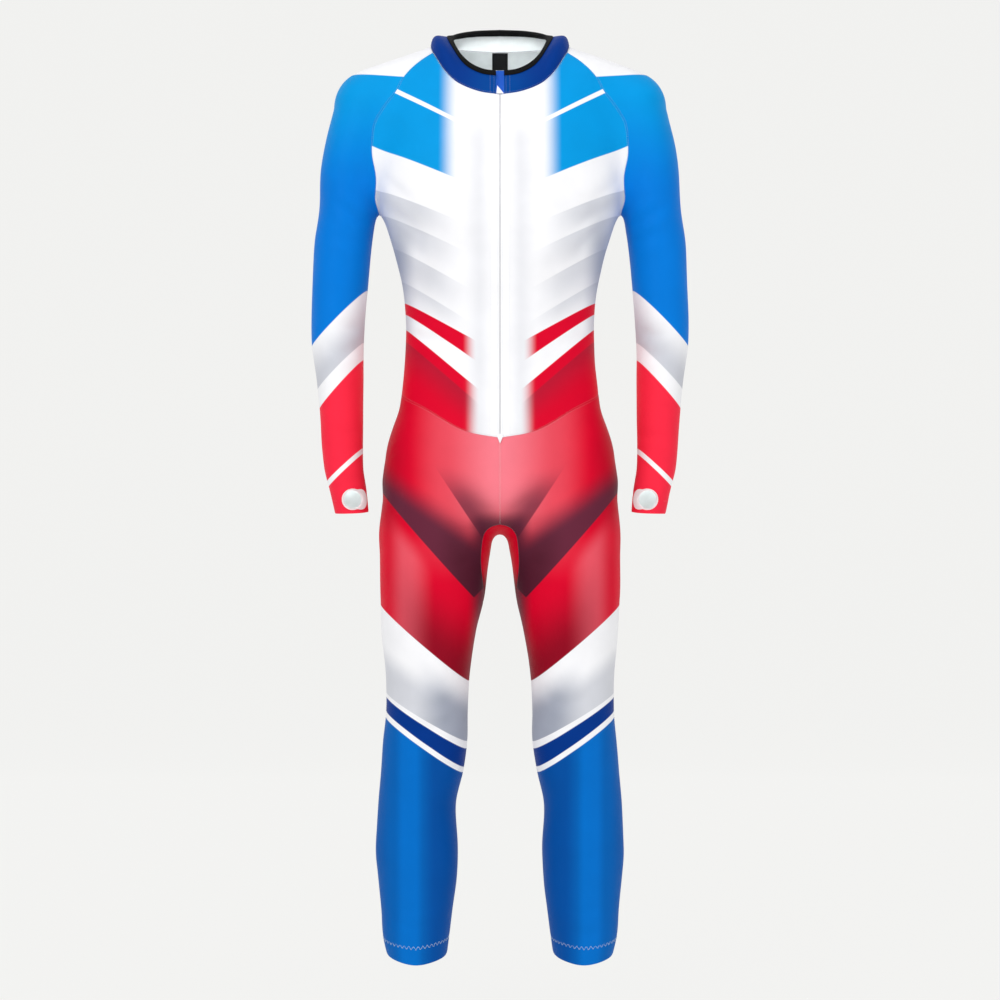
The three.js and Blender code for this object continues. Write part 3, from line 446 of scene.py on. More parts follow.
def section_at(rows, z):
    """The columns of a table of sections at each height, on a smooth curve through its rows."""
    i = np.minimum(np.searchsorted(-rows[1:, 0], -z, side="left"), len(rows) - 2)
    upper, lower = rows[i], rows[i + 1]
    before, after = rows[np.maximum(i - 1, 0)], rows[np.minimum(i + 2, len(rows) - 1)]
    span = (upper - lower)[:, :1]
    t = np.clip((upper[:, :1] - z[:, None]) / span, 0, 1)
    leaving = span * (lower - before) / (before - lower)[:, :1]
    arriving = span * (after - upper) / (upper - after)[:, :1]
    return eased(t, upper, leaving, lower, arriving)


def tube_distance(rows, x, y, z, top=(np.inf, 1), bottom=(-np.inf, 1)):
    """About how far points are outside a tube of sections with rounded ends."""
    level = np.clip(z, bottom[0], top[0])
    over = np.where(z > level, (z - level) / top[1], (level - z) / bottom[1])
    _, middle_x, half_width, middle_y, half_depth, power = section_at(rows, level).T
    dx, dy = x - middle_x, y - middle_y
    across = np.abs(dx / half_width) ** power + np.abs(dy / half_depth) ** power
    reach = np.maximum(np.hypot(across ** (1 / power), over), 1e-6)
    return np.sqrt(dx**2 + dy**2 + (z - level) ** 2) * (1 - 1 / reach)


def soft_minimum(a, b, softness):
    """The lower of two distances, with a rounded valley between them."""
    h = np.maximum(softness - np.abs(a - b), 0) / softness
    return np.minimum(a, b) - h * h * softness / 4


def smooth_step(value, low, high):
    """0 up to low and 1 from high, with a smooth rise between."""
    t = np.clip((value - low) / (high - low), 0, 1)
    return t * t * (3 - 2 * t)


def cloth_distance(points):
    """About how far points are outside the filled suit."""
    x, y, z = points.T
    side = np.abs(x)
    trunk = tube_distance(TRUNK, x, y, z, bottom=TRUNK_BOTTOM)
    near = tube_distance(LEG, side, y, z, top=LEG_TOP)
    far = tube_distance(LEG, -side, y, z, top=LEG_TOP)
    arm = tube_distance(ARM, side, y, z, top=ARM_TOP)
    armhole = ARMPIT + (SHOULDER - ARMPIT) * smooth_step(z, ARMPIT_Z, SHOULDER_Z)
    body = soft_minimum(trunk, soft_minimum(near, far, CROTCH), HIP)
    return soft_minimum(body, arm, armhole)


def slope_at(points):
    """How the distance changes round each point."""
    slopes = []
    for axis in np.eye(3) * PROBE:
        slopes.append((cloth_distance(points + axis) - cloth_distance(points - axis)) / (2 * PROBE))
    return np.stack(slopes, axis=1)


def to_cloth(places, steps=6):
    """The same points laid on the filled form."""
    points = np.asarray(places, float).reshape(-1, 3).copy()
    for _ in range(steps):
        slope = slope_at(points)
        square = np.maximum((slope**2).sum(axis=1), LEAST_SLOPE_SQUARED)
        move = slope * (-cloth_distance(points) / square)[:, None]
        length = np.linalg.norm(move, axis=1, keepdims=True)
        points += move * np.minimum(1, LONGEST_STEP / np.maximum(length, 1e-9))
    return points.reshape(np.shape(places))


def normals_on(grid):
    """The outward direction of the filled form at each point of a grid."""
    return unit(slope_at(grid.reshape(-1, 3))).reshape(grid.shape)


# Lines on the cloth


def lengths(line):
    """The distance along a line to each of its points."""
    steps = np.linalg.norm(np.diff(line, axis=0), axis=1)
    return np.concatenate([[0], np.cumsum(steps)])


def along(line, stops):
    """The points at these distances along a line."""
    length = lengths(line)
    return np.stack([np.interp(stops, length, line[:, k]) for k in range(3)], axis=1)


def smooth_curve(stops, per_span=24):
    """A smooth curve through points, without overshoot where they are unevenly apart."""
    p = np.array(stops, float)
    p = np.vstack([2 * p[0] - p[1], p, 2 * p[-1] - p[-2]])
    t = np.linspace(0, 1, per_span, endpoint=False)[:, None]
    curve = []
    for a, b, c, d in zip(p[:-3], p[1:-2], p[2:-1], p[3:]):
        ab, bc, cd = (math.sqrt(np.linalg.norm(q - r)) for q, r in ((a, b), (b, c), (c, d)))
        start = ((b - a) / ab - (c - a) / (ab + bc) + (c - b) / bc) * bc
        end = ((c - b) / bc - (d - b) / (bc + cd) + (d - c) / cd) * bc
        curve.append(eased(t, b, start, c, end))
    return np.vstack(curve + [p[-2:-1]])


@functools.cache
def corner(name):
    """A corner where seams meet."""
    return to_cloth(np.array([CORNERS[name]], float), steps=ON_LINE)[0]


@functools.cache
def seam(name):
    """A seam line on the cloth, with many points."""
    if name == "zip_line":
        start, end = corner("neck_front"), corner("waist_front")
        z = np.linspace(start[2], end[2], 160)
        line = to_cloth(np.stack([0 * z, 0 * z - CHEST_FRONT, z], axis=1), steps=ON_LINE)
    else:
        first, between, last, _ = SEAMS[name]
        start, end = corner(first), corner(last)
        places = to_cloth(np.array(between, float), steps=ON_LINE) if between else np.zeros((0, 3))
        line = to_cloth(smooth_curve([start, *places, end]))
    line[0], line[-1] = start, end
    return line


def graded(stops):
    """Adds two stops close to each end."""
    near = EDGE_ROWS * min(stops[1] - stops[0], EDGE_CELL)
    far = EDGE_ROWS * min(stops[-1] - stops[-2], EDGE_CELL)
    return np.concatenate([stops[:1], stops[0] + near, stops[1:-1], stops[-1] - far[::-1], stops[-1:]])


def edge_of(names, fine):
    """Points along a run of seams, even in each seam and close together at its two ends."""
    lines, stops, done = [], [np.zeros(1)], 0
    for name in names:
        plain = name.strip("-~")
        line = seam(plain) * (MIRROR if "~" in name else 1)
        line = line[::-1] if "-" in name else line
        cells = ZIP_CELLS if plain == "zip_line" else SEAMS[plain][3]
        length = lengths(line)[-1]
        stops.append(done + np.linspace(0, length, cells * fine + 1)[1:])
        done += length
        lines.append(line if not lines else line[1:])
    whole = np.vstack(lines)
    stops = graded(np.concatenate(stops))
    return along(whole, stops), stops / done, len(stops)


@functools.cache
def panel(name):
    """A panel's points on the filled form, row by row from the top."""
    plan = PANELS[name]
    down, across = plan["fine"]
    left, left_part, _ = edge_of(plan["left"], down)
    right, right_part, _ = edge_of(plan["right"], down)
    top, top_part, columns = edge_of(plan["top"], across)
    bottom, bottom_part, _ = edge_of(plan["bottom"], across)
    u = ((top_part + bottom_part) / 2)[None, :, None]
    v = ((left_part + right_part) / 2)[:, None, None]
    grid = (1 - u) * left[:, None] + u * right[:, None] + (1 - v) * top[None] + v * bottom[None]
    grid -= (1 - v) * ((1 - u) * top[0] + u * top[-1]) + v * ((1 - u) * bottom[0] + u * bottom[-1])
    half = np.linalg.norm(left - right, axis=1)[:, None, None] / 2
    cells = len(left) / down
    rise = np.clip(np.minimum(v, 1 - v) * cells, 0, 1)
    grid += np.array(plan["facing"]) * np.sin(np.pi * u) * half * plan["bulge"] * rise
    grid[1:-1, 1:-1] = to_cloth(grid[1:-1, 1:-1], steps=8)
    for _ in range(2):
        for i, row in enumerate(grid[1:-1], 1):
            whole = lengths(row)[-1]
            grid[i] = along(row, graded(np.linspace(0, whole, columns - 2 * len(EDGE_ROWS))))
        grid[1:-1, 1:-1] = to_cloth(grid[1:-1, 1:-1], steps=2)
    return grid


def drawn_in(grid, left=EDGE_GAP):
    """The grid with its edges a hair short of the seam lines."""
    result = grid.copy()
    edges = [
        ((slice(None), 0), (slice(None), 1), left),
        ((slice(None), -1), (slice(None), -2), EDGE_GAP),
        (0, 1, EDGE_GAP),
        (-1, -2, EDGE_GAP),
    ]
    for edge, inner, gap in edges:
        result[edge] += unit(grid[inner] - grid[edge]) * gap
    return result


# Folds and soft unevenness of the cloth


@functools.cache
def fold_lines():
    """Every fold as a line on the cloth with its depth and half width, on both sides of the suit."""
    rng = np.random.default_rng(FOLD_SEED)
    folds = []
    for depth, width, *places in FOLDS:
        for side in (1, -1):
            shift = rng.uniform(-1, 1, 3) * FOLD_SHIFT
            points = (np.array(places, float) + shift) * (side, 1, 1)
            strength = depth * rng.uniform(*FOLD_DEEPER)
            folds.append((strength, width * rng.uniform(*FOLD_WIDER), to_cloth(smooth_curve(points, 5))))
    return folds


def distance_to_line(points, line):
    """How far points are from a line, and how far along it the nearest place is, from 0 to 1."""
    start, step = line[:-1], np.diff(line, axis=0)
    away = points[:, None] - start
    t = np.clip((away * step).sum(axis=2) / (step**2).sum(axis=1), 0, 1)
    gap = np.linalg.norm(away - t[..., None] * step, axis=2)
    nearest = gap.argmin(axis=1)
    rows = np.arange(len(points))
    return gap[rows, nearest], (nearest + t[rows, nearest]) / len(step)


def hump(value, width):
    """1 at nothing, falling smoothly to nothing past the width."""
    return np.exp(-((value / width) ** 2))


def relief(points):
    """How far the cloth stands out from the filled form at each point."""
    out = np.zeros(len(points))
    for height, wavelength, direction in WAVES:
        out += height * np.sin(points @ np.array(direction) * 2 * math.pi / wavelength)
    for depth, width, line in fold_lines():
        middle = line.mean(axis=0)
        reach = np.linalg.norm(line - middle, axis=1).max() + FOLD_REACH * width
        near = np.linalg.norm(points - middle, axis=1) < reach
        if not near.any():
            continue
        gap, t = distance_to_line(points[near], line)
        trough = FOLD_RIDGE * hump(gap - RIDGE_PLACE * width, width) - hump(gap, width)
        out[near] += depth * trough * np.sin(np.pi * t) ** FOLD_TAPER
    return out


def from_edges(grid):
    """How far each point is from the left, right, top and bottom edges, along the cloth."""
    across = np.linalg.norm(np.diff(grid, axis=1), axis=2)
    down = np.linalg.norm(np.diff(grid, axis=0), axis=2)
    left = np.pad(np.cumsum(across, axis=1), ((0, 0), (1, 0)))
    top = np.pad(np.cumsum(down, axis=0), ((1, 0), (0, 0)))
    return left, left[:, -1:] - left, top, top[-1:] - top


def grid_uv(grid):
    """Places along and up a grid, in millimetres, for a knit that follows the cloth."""
    left, _, top, _ = from_edges(grid)
    return np.stack([left, top], axis=-1)


@functools.cache
def cloth_skins(name, side):
    """The outer and inner faces of a panel's cloth, with its folds and its edges, for one side."""
    settings = bpy.context.scene.suit_cloth
    wall, hem_wall, hem, dip = (
        value / MM for value in (settings.wall, settings.hem_wall, settings.hem, settings.seam_dip)
    )
    left_gap = ZIP["edge"] if name == "front" else EDGE_GAP
    base = drawn_in(panel(name), left_gap) * (side, 1, 1)
    normals = normals_on(base)
    edges = from_edges(base)
    hemmed = name in HEMMED
    to_seam = np.minimum.reduce(edges[:3] if hemmed else edges)
    rise = relief(base.reshape(-1, 3)).reshape(to_seam.shape) * settings.folds
    rise *= SEAM_EDGE["folds"] + (1 - SEAM_EDGE["folds"]) * smooth_step(to_seam, 0, SEAM_EDGE["fade"])
    lift = rise - dip * hump(to_seam, SEAM_EDGE["dip_width"])
    depth = np.full_like(lift, wall)
    if hemmed:
        turned = edges[3]
        depth += (hem_wall - wall) * (1 - smooth_step(turned, hem - 1, hem + 1))
        rounded = hump(turned, HEM_EDGE["round_width"])
        lift -= HEM_EDGE["round"] * rounded + HEM_EDGE["dip"] * hump(turned - hem, HEM_EDGE["dip_width"])
        depth -= HEM_EDGE["thinner"] * rounded
    if name == "front":
        lift += PLACKET["rise"] * (1 - smooth_step(edges[0], PLACKET["half"] - 1, PLACKET["half"] + 1))
    outer = base + normals * lift[..., None]
    inner = base + normals * np.minimum(lift - depth, -LEAST_DEPTH)[..., None]
    return outer, inner, grid_uv(base)


# Meshes


def link(name, data):
    """A new object at the origin for a mesh, a light or a camera."""
    made = bpy.data.objects.new(name, data)
    bpy.context.scene.collection.objects.link(made)
    return made


def smooth(mesh):
    """Smooth shading, with sharp edges kept sharp."""
    mesh.shade_smooth()
    mesh.set_sharp_from_angle(angle=math.radians(SHARP))


def volume_sign(points, faces):
    """1 where a closed mesh's faces point outwards, and -1 where they point inwards."""
    a, b, c, d = (points[faces[:, k]] for k in range(4))
    return 1 if (np.cross(b - a, c - a) * a + np.cross(c - a, d - a) * a).sum() >= 0 else -1


def solid(name, points, faces, looks, look_of_face=None, uv=None):
    """A closed mesh of four-sided faces, with its points in millimetres."""
    if volume_sign(points, faces) < 0:
        faces = faces[:, ::-1]
    mesh = bpy.data.meshes.new(name)
    mesh.from_pydata((points * MM).tolist(), [], faces.tolist())
    if uv is not None:
        layer = mesh.uv_layers.new(name="cloth")
        layer.data.foreach_set("uv", (uv[faces.ravel()] * MM).ravel())
    for look in looks:
        mesh.materials.append(look)
    if look_of_face is not None:
        mesh.polygons.foreach_set("material_index", look_of_face.astype(np.int32))
    smooth(mesh)
    mesh.update()
    return link(name, mesh)


def shell(name, outer, inner, looks, uv=None):
    """A closed sheet between two grids of points; looks are for the outside and the inside."""
    rows, columns = outer.shape[:2]
    number = np.arange(rows * columns).reshape(rows, columns)
    corners = (number[:-1, :-1], number[:-1, 1:], number[1:, 1:], number[1:, :-1])
    face = np.stack(corners, axis=-1).reshape(-1, 4)
    ring = np.concatenate([number[0], number[1:, -1], number[-1, -2::-1], number[-2:0:-1, 0]])
    after = np.roll(ring, -1)
    total = rows * columns
    wall = np.stack([after, ring, ring + total, after + total], axis=1)
    faces = np.vstack([face, face[:, ::-1] + total, wall])
    look = np.zeros(len(faces))
    look[len(face):2 * len(face)] = len(looks) - 1
    points = np.vstack([outer.reshape(-1, 3), inner.reshape(-1, 3)])
    both = None if uv is None else np.vstack([uv.reshape(-1, 2)] * 2)
    return solid(name, points, faces, looks, look, both)


def swept(name, sections, looks, closed=False, uv=None):
    """A closed body swept through like sections, as a ring or with two flat ends."""
    count, sides = sections.shape[:2]
    number = np.arange(count * sides).reshape(count, sides)
    following = np.roll(number, -1, axis=0) if closed else number[1:]
    here = number if closed else number[:-1]
    quads = [here, following, np.roll(following, -1, axis=1), np.roll(here, -1, axis=1)]
    faces = [np.stack(quads, axis=-1).reshape(-1, 4)]
    if not closed:
        half = sides // 2
        for end, turned in ((number[0], 1), (number[-1], -1)):
            strip = [[end[k], end[k + 1], end[-k - 2], end[-k - 1]][::turned] for k in range(half - 1)]
            faces.append(np.array(strip))
    return solid(name, sections.reshape(-1, 3), np.vstack(faces), looks, uv=uv)


def finished(piece, slot, *nodes):
    """The piece rides on the suit and stands for its solids, which it hides; the slot is not used."""
    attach(piece, BODY)
    if nodes:
        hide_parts(*nodes)
    return piece


def sewn(piece, slot, node_name):
    """Finishes a piece of cloth."""
    finished(piece, slot, node_name)


# Materials


def node(tree, kind, values=None, **settings):
    """Adds a node with its settings; values are numbers, or sockets to link."""
    made = tree.nodes.new(kind)
    for key, value in settings.items():
        setattr(made, key, value)
    for key, value in (values or {}).items():
        if isinstance(value, bpy.types.NodeSocket):
            tree.links.new(value, made.inputs[key])
        else:
            made.inputs[key].default_value = value
    return made


def maths(tree, operation, a, b=0.0):
    """The result of one sum on two numbers."""
    return node(tree, "ShaderNodeMath", {0: a, 1: b}, operation=operation).outputs[0]


def blended(tree, factor, a, b, kind="MIX"):
    """Two colours mixed."""
    values = {0: factor, 6: a, 7: b}
    return node(tree, "ShaderNodeMix", values, data_type="RGBA", blend_type=kind).outputs[2]


def new_material(name, roughness=0.5, specular=0.5, sheen=0.0, nap=0.5):
    """A material with its shader, and the place on the suit in metres; nap is the sheen's roughness."""
    material = bpy.data.materials.new(name)
    material.use_nodes = True
    tree = material.node_tree
    tree.nodes.clear()
    shader = node(tree, "ShaderNodeBsdfPrincipled", {
        "Roughness": roughness, "Specular IOR Level": specular, "Sheen Weight": sheen, "Sheen Roughness": nap,
    })
    output = node(tree, "ShaderNodeOutputMaterial")
    tree.links.new(shader.outputs[0], output.inputs[0])
    return material, tree, shader, node(tree, "ShaderNodeTexCoord").outputs["Object"]


def knit_height(tree, wale=0.0009, course=0.0007):
    """The height of fine knitted stitches that follow the cloth."""
    place = node(tree, "ShaderNodeUVMap", uv_map="cloth").outputs[0]
    parts = node(tree, "ShaderNodeSeparateXYZ", {0: place})
    waves = []
    for axis, period in ((0, wale), (1, course)):
        turn = maths(tree, "MULTIPLY", parts.outputs[axis], 2 * math.pi / period)
        waves.append(maths(tree, "SINE", turn))
    return maths(tree, "MULTIPLY", waves[0], waves[1])


def grain_height(tree, place, scale):
    """The height of a fine uneven grain."""
    values = {"Vector": place, "Scale": scale, "Detail": 2.0}
    return node(tree, "ShaderNodeTexNoise", values).outputs["Fac"]


def bumped(tree, shader, height, distance, strength):
    """Gives the shader a bump."""
    values = {"Height": height, "Distance": distance, "Strength": strength}
    tree.links.new(node(tree, "ShaderNodeBump", values).outputs[0], shader.inputs["Normal"])


def dyed(tree, shader, place, colour_now, amount, scale):
    """Gives the shader a colour with slow light and dark patches."""
    patch = grain_height(tree, place, scale)
    value = node(tree, "ShaderNodeMapRange", {0: patch, 1: 0.3, 2: 0.7, 3: 1 - amount, 4: 1.0}).outputs[0]
    uneven = blended(tree, 1.0, colour_now, value, "MULTIPLY")
    tree.links.new(uneven, shader.inputs["Base Color"])


def set_colour(name):
    """A colour from the print settings, with its alpha."""
    return (*getattr(bpy.context.scene.suit_print, name), 1)


# The print is plain bands with straight edges; some bands on the torso and legs are painted shade and painted
# highlights. Each edge is a line, by two places (across, height).


def above(x1, z1, x2, z2, soft=1.5):
    """The side above a straight edge on the print."""
    step = np.array([x2 - x1, z2 - z1], float)
    normal = np.array([-step[1], step[0]]) / np.linalg.norm(step)
    normal *= 1 if normal[1] > 0 else -1
    return (*normal, normal @ (x1, z1), soft)


def below(x1, z1, x2, z2, soft=1.5):
    """The side below a straight edge on the print."""
    x, z, offset, _ = above(x1, z1, x2, z2)
    return (-x, -z, -offset, soft)


def outside(x, soft):
    """Further than x from the centre line."""
    return (1.0, 0.0, x, soft)


def within(x, soft):
    """Nearer than x to the centre line."""
    return (-1.0, 0.0, -x, soft)


YOKE = [above(59, -180, 194, -119), outside(79, 32)]
WAIST_BLOCK = [below(34, -494, 147, -398), outside(42, 24)]
THIGH_BLOCK = [above(40, -813, 174, -662, 2), above(40, -813, 20, -793, 2)]
SHIN = below(50, -1094, 180, -1000)

TORSO_PRINT_AND_PAINTED_SHADE = ("white", [
    ("grey", 0.46, [above(60, -272, 190, -214, 40), below(60, -242, 190, -184, 2), outside(96, 80)]),
    ("grey", 0.42, [above(50, -322, 170, -262, 44), below(50, -288, 170, -228, 2), outside(84, 80)]),
    ("grey", 0.40, [above(44, -380, 160, -312, 44), below(44, -344, 160, -276, 2), outside(76, 70)]),
    ("grey", 0.34, [above(40, -414, 150, -344, 30), below(40, -396, 150, -326, 2), outside(70, 60)]),
    # Painted shade: grey darkening along the torso's sides, below the chest
    ("grey", 0.75, [outside(142, 34), below(0, -250, 10, -250, 80)]),
    ("sky", 1.0, YOKE),
    ("white", 1.0, [above(59, -94, 157, -40, 1.2), below(59, -87, 157, -32, 1.2), outside(62, 20)]),
    ("red", 1.0, [above(43, -447, 141, -379), below(46, -416, 144, -360), outside(46, 22)]),
    ("red", 1.0, WAIST_BLOCK),
    ("plum", 0.4, [*WAIST_BLOCK, above(36, -540, 150, -440, 50), below(36, -514, 150, -414, 3)]),
    ("grey", 0.18, [within(44, 30), outside(22, 22), below(0, -100, 10, -100, 60)]),
])

LEG_PRINT_AND_PAINTED_LIGHT = ("red", [
    # Painted shade: darker red along the outer hips
    ("maroon", 0.3, [outside(150, 46), above(0, -700, 10, -700, 60)]),
    ("pink", 0.3, [within(112, 60), above(0, -740, 10, -740, 110)]),
    ("pink", 0.9, [within(45, 90), above(0, -700, 10, -700, 90)]),
    # Painted highlight: a lighter red band down the outer thighs
    ("pink", 0.4, [outside(118, 40), within(160, 30), below(40, -830, 174, -692, 30)]),
    ("plum", 0.75, [
        above(32, -714, 100, -610, 2), below(6, -699, 74, -595, 44), below(0, -640, 10, -640, 70),
    ]),
    # Painted shade: dark plum at the crotch, between the legs
    ("plum", 0.85, [below(0, -690, 10, -690, 26), within(40, 24)]),
    ("plum", 0.95, [*THIGH_BLOCK, below(93, -683, 155, -640, 44)]),
    ("maroon", 0.45, [*THIGH_BLOCK, below(40, -740, 90, -700, 50), within(80, 50)]),
    ("maroon", 0.65, [below(49, -876, 186, -759, 90), within(140, 90)]),
    ("white", 1.0, [below(49, -944, 186, -827)]),
    ("grey", 0.45, [below(49, -992, 186, -900, 34), above(49, -1040, 186, -958)]),
    ("grey", 0.9, [below(49, -972, 186, -880, 46), above(49, -1040, 186, -958), within(108, 56)]),
    ("royal", 1.0, [below(50, -1052, 180, -968), above(50, -1084, 180, -990)]),
    ("shin", 1.0, [SHIN]),
    # Painted shade: darker blue on the shins' inner sides, where the legs face each other
    ("shin_shade", 0.85, [SHIN, within(112, 26)]),
    # Painted highlight: a lighter blue band down the middle of each shin
    ("blue", 0.5, [SHIN, outside(124, 14), within(156, 16)]),
    # Painted shade: darker blue along the shins' outer edges
    ("shin_shade", 0.35, [SHIN, outside(178, 20)]),
])

GUSSET_PRINT = ("red", [
    ("maroon", 0.8, [below(0, -785, 10, -785, 40)]),
])

SLEEVE_PRINT = ("sky", [
    ("blue", 1.0, [below(200, -105, 300, -105, 180)]),
    ("white", 1.0, [above(143, -12.5, 202, -4.7)]),
    ("white", 1.0, [below(210, -338, 292, -421)]),
    ("grey", 0.55, [below(214, -372, 292, -450, 50), above(214, -418, 285, -491)]),
    ("coral", 1.0, [below(214, -445, 282, -521)]),
    ("white", 1.0, [below(213, -582, 269, -634, 1.2), above(213, -591, 269, -645, 1.2)]),
])

COLLAR_PRINT = ("royal", [
    ("shin", 0.3, [within(40, 60), below(0, 0, 10, 0, 60)]),
])

PRINTS_AND_PAINTED_LIGHT = {
    "torso": TORSO_PRINT_AND_PAINTED_SHADE,
    "leg": LEG_PRINT_AND_PAINTED_LIGHT,
    "gusset": GUSSET_PRINT,
    "sleeve": SLEEVE_PRINT,
    "collar": COLLAR_PRINT,
}


def print_and_painted_light(tree, place, plan):
    """The colour of a print at each place, with its painted shade and highlights, the same on the left and
    the right.
    """
    parts = node(tree, "ShaderNodeSeparateXYZ", {0: place})
    side = maths(tree, "ABSOLUTE", parts.outputs[0])
    folded_parts = {0: side, 1: parts.outputs[1], 2: parts.outputs[2]}
    folded = node(tree, "ShaderNodeCombineXYZ", folded_parts).outputs[0]
    base, bands = plan
    now = set_colour(base)
    for name, strength, edges in bands:
        mask = strength
        for across, up, offset, soft in edges:
            values = {0: folded, 1: (across, 0.0, up)}
            distance = node(tree, "ShaderNodeVectorMath", values, operation="DOT_PRODUCT").outputs["Value"]
            ends = {0: distance, 1: (offset - soft / 2) * MM, 2: (offset + soft / 2) * MM}
            ramp = node(tree, "ShaderNodeMapRange", ends, interpolation_type="SMOOTHSTEP").outputs[0]
            mask = maths(tree, "MULTIPLY", ramp, mask)
        now = blended(tree, mask, now, set_colour(name))
    return now


@functools.cache
def printed_cloth(name):
    """Printed stretch cloth: smooth, with a soft sheen and a very fine knit; on the torso and legs its colour
    also holds painted shade and highlights.
    """
    material, tree, shader, place = new_material(f"{name} print", specular=0.05, sheen=0.015, nap=0.4)
    dyed(tree, shader, place, print_and_painted_light(tree, place, PRINTS_AND_PAINTED_LIGHT[name]), amount=0.045, scale=22)
    bumped(tree, shader, knit_height(tree), distance=0.00006, strength=0.5)
    return material


@functools.cache
def thread_of(name):
    """Thread dyed to go with a print and its painted shade, a little paler than the cloth."""
    material, tree, shader, place = new_material(f"{name} thread", specular=0.15)
    pale = blended(tree, 0.28, print_and_painted_light(tree, place, PRINTS_AND_PAINTED_LIGHT[name]), (0.8, 0.82, 0.86, 1))
    dyed(tree, shader, place, pale, amount=0.2, scale=900)
    return material


@functools.cache
def hem_thread():
    """Pale thread of the zigzag on the hems."""
    material, tree, shader, place = new_material("hem thread")
    dyed(tree, shader, place, (0.7, 0.82, 0.9, 1), amount=0.2, scale=900)
    return material


@functools.cache
def plain_cloth(name, setting, roughness, sheen, grain=None):
    """Cloth of one colour: knitted, or with a fine grain where its scale is given."""
    material, tree, shader, place = new_material(name, roughness, specular=0.2, sheen=sheen)
    dyed(tree, shader, place, set_colour(setting), amount=0.08, scale=60)
    height = grain_height(tree, place, grain) if grain else knit_height(tree)
    bumped(tree, shader, height, distance=0.0001, strength=0.6)
    return material


def lining_cloth():
    """White brushed knit, as on the inside of the suit."""
    return plain_cloth("lining", "lining", roughness=0.85, sheen=0.25)


@functools.cache
def ribbed_binding():
    """Matte elastic with fine ribs along its length."""
    material, tree, shader, place = new_material("binding", roughness=0.7, specular=0.12)
    dyed(tree, shader, place, set_colour("black"), amount=0.3, scale=300)
    bumped(tree, shader, knit_height(tree, wale=0.0008, course=0.0015), distance=0.00015, strength=0.7)
    return material


@functools.cache
def moulded_plastic():
    """Pale plastic of the zip, finely scuffed."""
    material, tree, shader, place = new_material("zip plastic")
    dyed(tree, shader, place, set_colour("plastic"), amount=0.12, scale=500)
    rough = node(tree, "ShaderNodeMapRange", {0: grain_height(tree, place, 900), 3: 0.28, 4: 0.45}).outputs[0]
    tree.links.new(rough, shader.inputs["Roughness"])
    bumped(tree, shader, grain_height(tree, place, 2400), distance=0.00003, strength=0.3)
    return material


# Rows of stitches and teeth, by Geometry Nodes


def node_tree(name, sizes):
    """An empty Geometry Nodes tree with named inputs for its sizes and a material."""
    tree = bpy.data.node_groups.new(name, "GeometryNodeTree")
    tree.interface.new_socket("Geometry", in_out="INPUT", socket_type="NodeSocketGeometry")
    for label in sizes:
        tree.interface.new_socket(label, in_out="INPUT", socket_type="NodeSocketFloat")
    tree.interface.new_socket("Material", in_out="INPUT", socket_type="NodeSocketMaterial")
    tree.interface.new_socket("Geometry", in_out="OUTPUT", socket_type="NodeSocketGeometry")
    return tree, node(tree, "NodeGroupInput").outputs


@functools.cache
def row_tree(name, across):
    """Repeats one small rounded shape along lines, lying along them or across them."""
    tree, given = node_tree(name, ["Pitch", "Length", "Radius"])
    curve = node(tree, "GeometryNodeMeshToCurve", {0: given["Geometry"]}).outputs[0]
    steps = {"Curve": curve, "Length": given["Pitch"]}
    spread = node(tree, "GeometryNodeResampleCurve", steps, mode="LENGTH").outputs[0]
    half, thick = maths(tree, "MULTIPLY", given["Length"], 0.5), given["Radius"]
    widths = (half, thick, thick) if across else (thick, thick, half)
    scale = node(tree, "ShaderNodeCombineXYZ", dict(enumerate(widths))).outputs[0]
    bead = node(tree, "GeometryNodeMeshUVSphere", {"Segments": 6, "Rings": 4, "Radius": 1.0}).outputs[0]
    tangent = node(tree, "GeometryNodeInputTangent").outputs[0]
    turn = node(tree, "FunctionNodeAlignRotationToVector", {"Vector": tangent}, axis="Z").outputs[0]
    values = {"Points": spread, "Instance": bead, "Scale": scale}
    if not across:
        values["Rotation"] = turn
    placed = node(tree, "GeometryNodeInstanceOnPoints", values).outputs[0]
    real = node(tree, "GeometryNodeRealizeInstances", {0: placed}).outputs[0]
    rounded = node(tree, "GeometryNodeSetShadeSmooth", {0: real}).outputs[0]
    dressed = {"Geometry": rounded, "Material": given["Material"]}
    coloured = node(tree, "GeometryNodeSetMaterial", dressed).outputs[0]
    node(tree, "NodeGroupOutput", {0: coloured})
    return tree


def grown(name, lines, tree, sizes):
    """The plain mesh that a Geometry Nodes tree makes on lines of points in millimetres."""
    points, edges = [], []
    for line in lines:
        first = len(points)
        points.extend((line * MM).tolist())
        edges.extend((first + k, first + k + 1) for k in range(len(line) - 1))
    mesh = bpy.data.meshes.new(name)
    mesh.from_pydata(points, edges, [])
    made = link(name, mesh)
    modifier = made.modifiers.new("rows", "NODES")
    modifier.node_group = tree
    for item in tree.interface.items_tree:
        if item.in_out == "INPUT" and item.name in sizes:
            modifier[item.identifier] = sizes[item.name]
    whole = made.evaluated_get(bpy.context.evaluated_depsgraph_get())
    made.data = bpy.data.meshes.new_from_object(whole)
    made.modifiers.clear()
    return made


def line_at(grid, side, distance):
    """The line on a grid that runs at a distance from one of its edges."""
    turned = {"left": grid, "right": grid[:, ::-1], "top": grid.transpose(1, 0, 2),
              "bottom": grid.transpose(1, 0, 2)[:, ::-1]}[side]
    return np.array([along(row, [distance])[0] for row in turned])


def stitched(name, lines, thread, pitch=None):
    """Rows of stitches along lines."""
    sewing = bpy.context.scene.suit_sewing
    sizes = {
        "Pitch": pitch or sewing.pitch, "Length": sewing.stitch, "Radius": sewing.thread, "Material": thread,
    }
    return grown(name, lines, row_tree("Stitches", False), sizes)


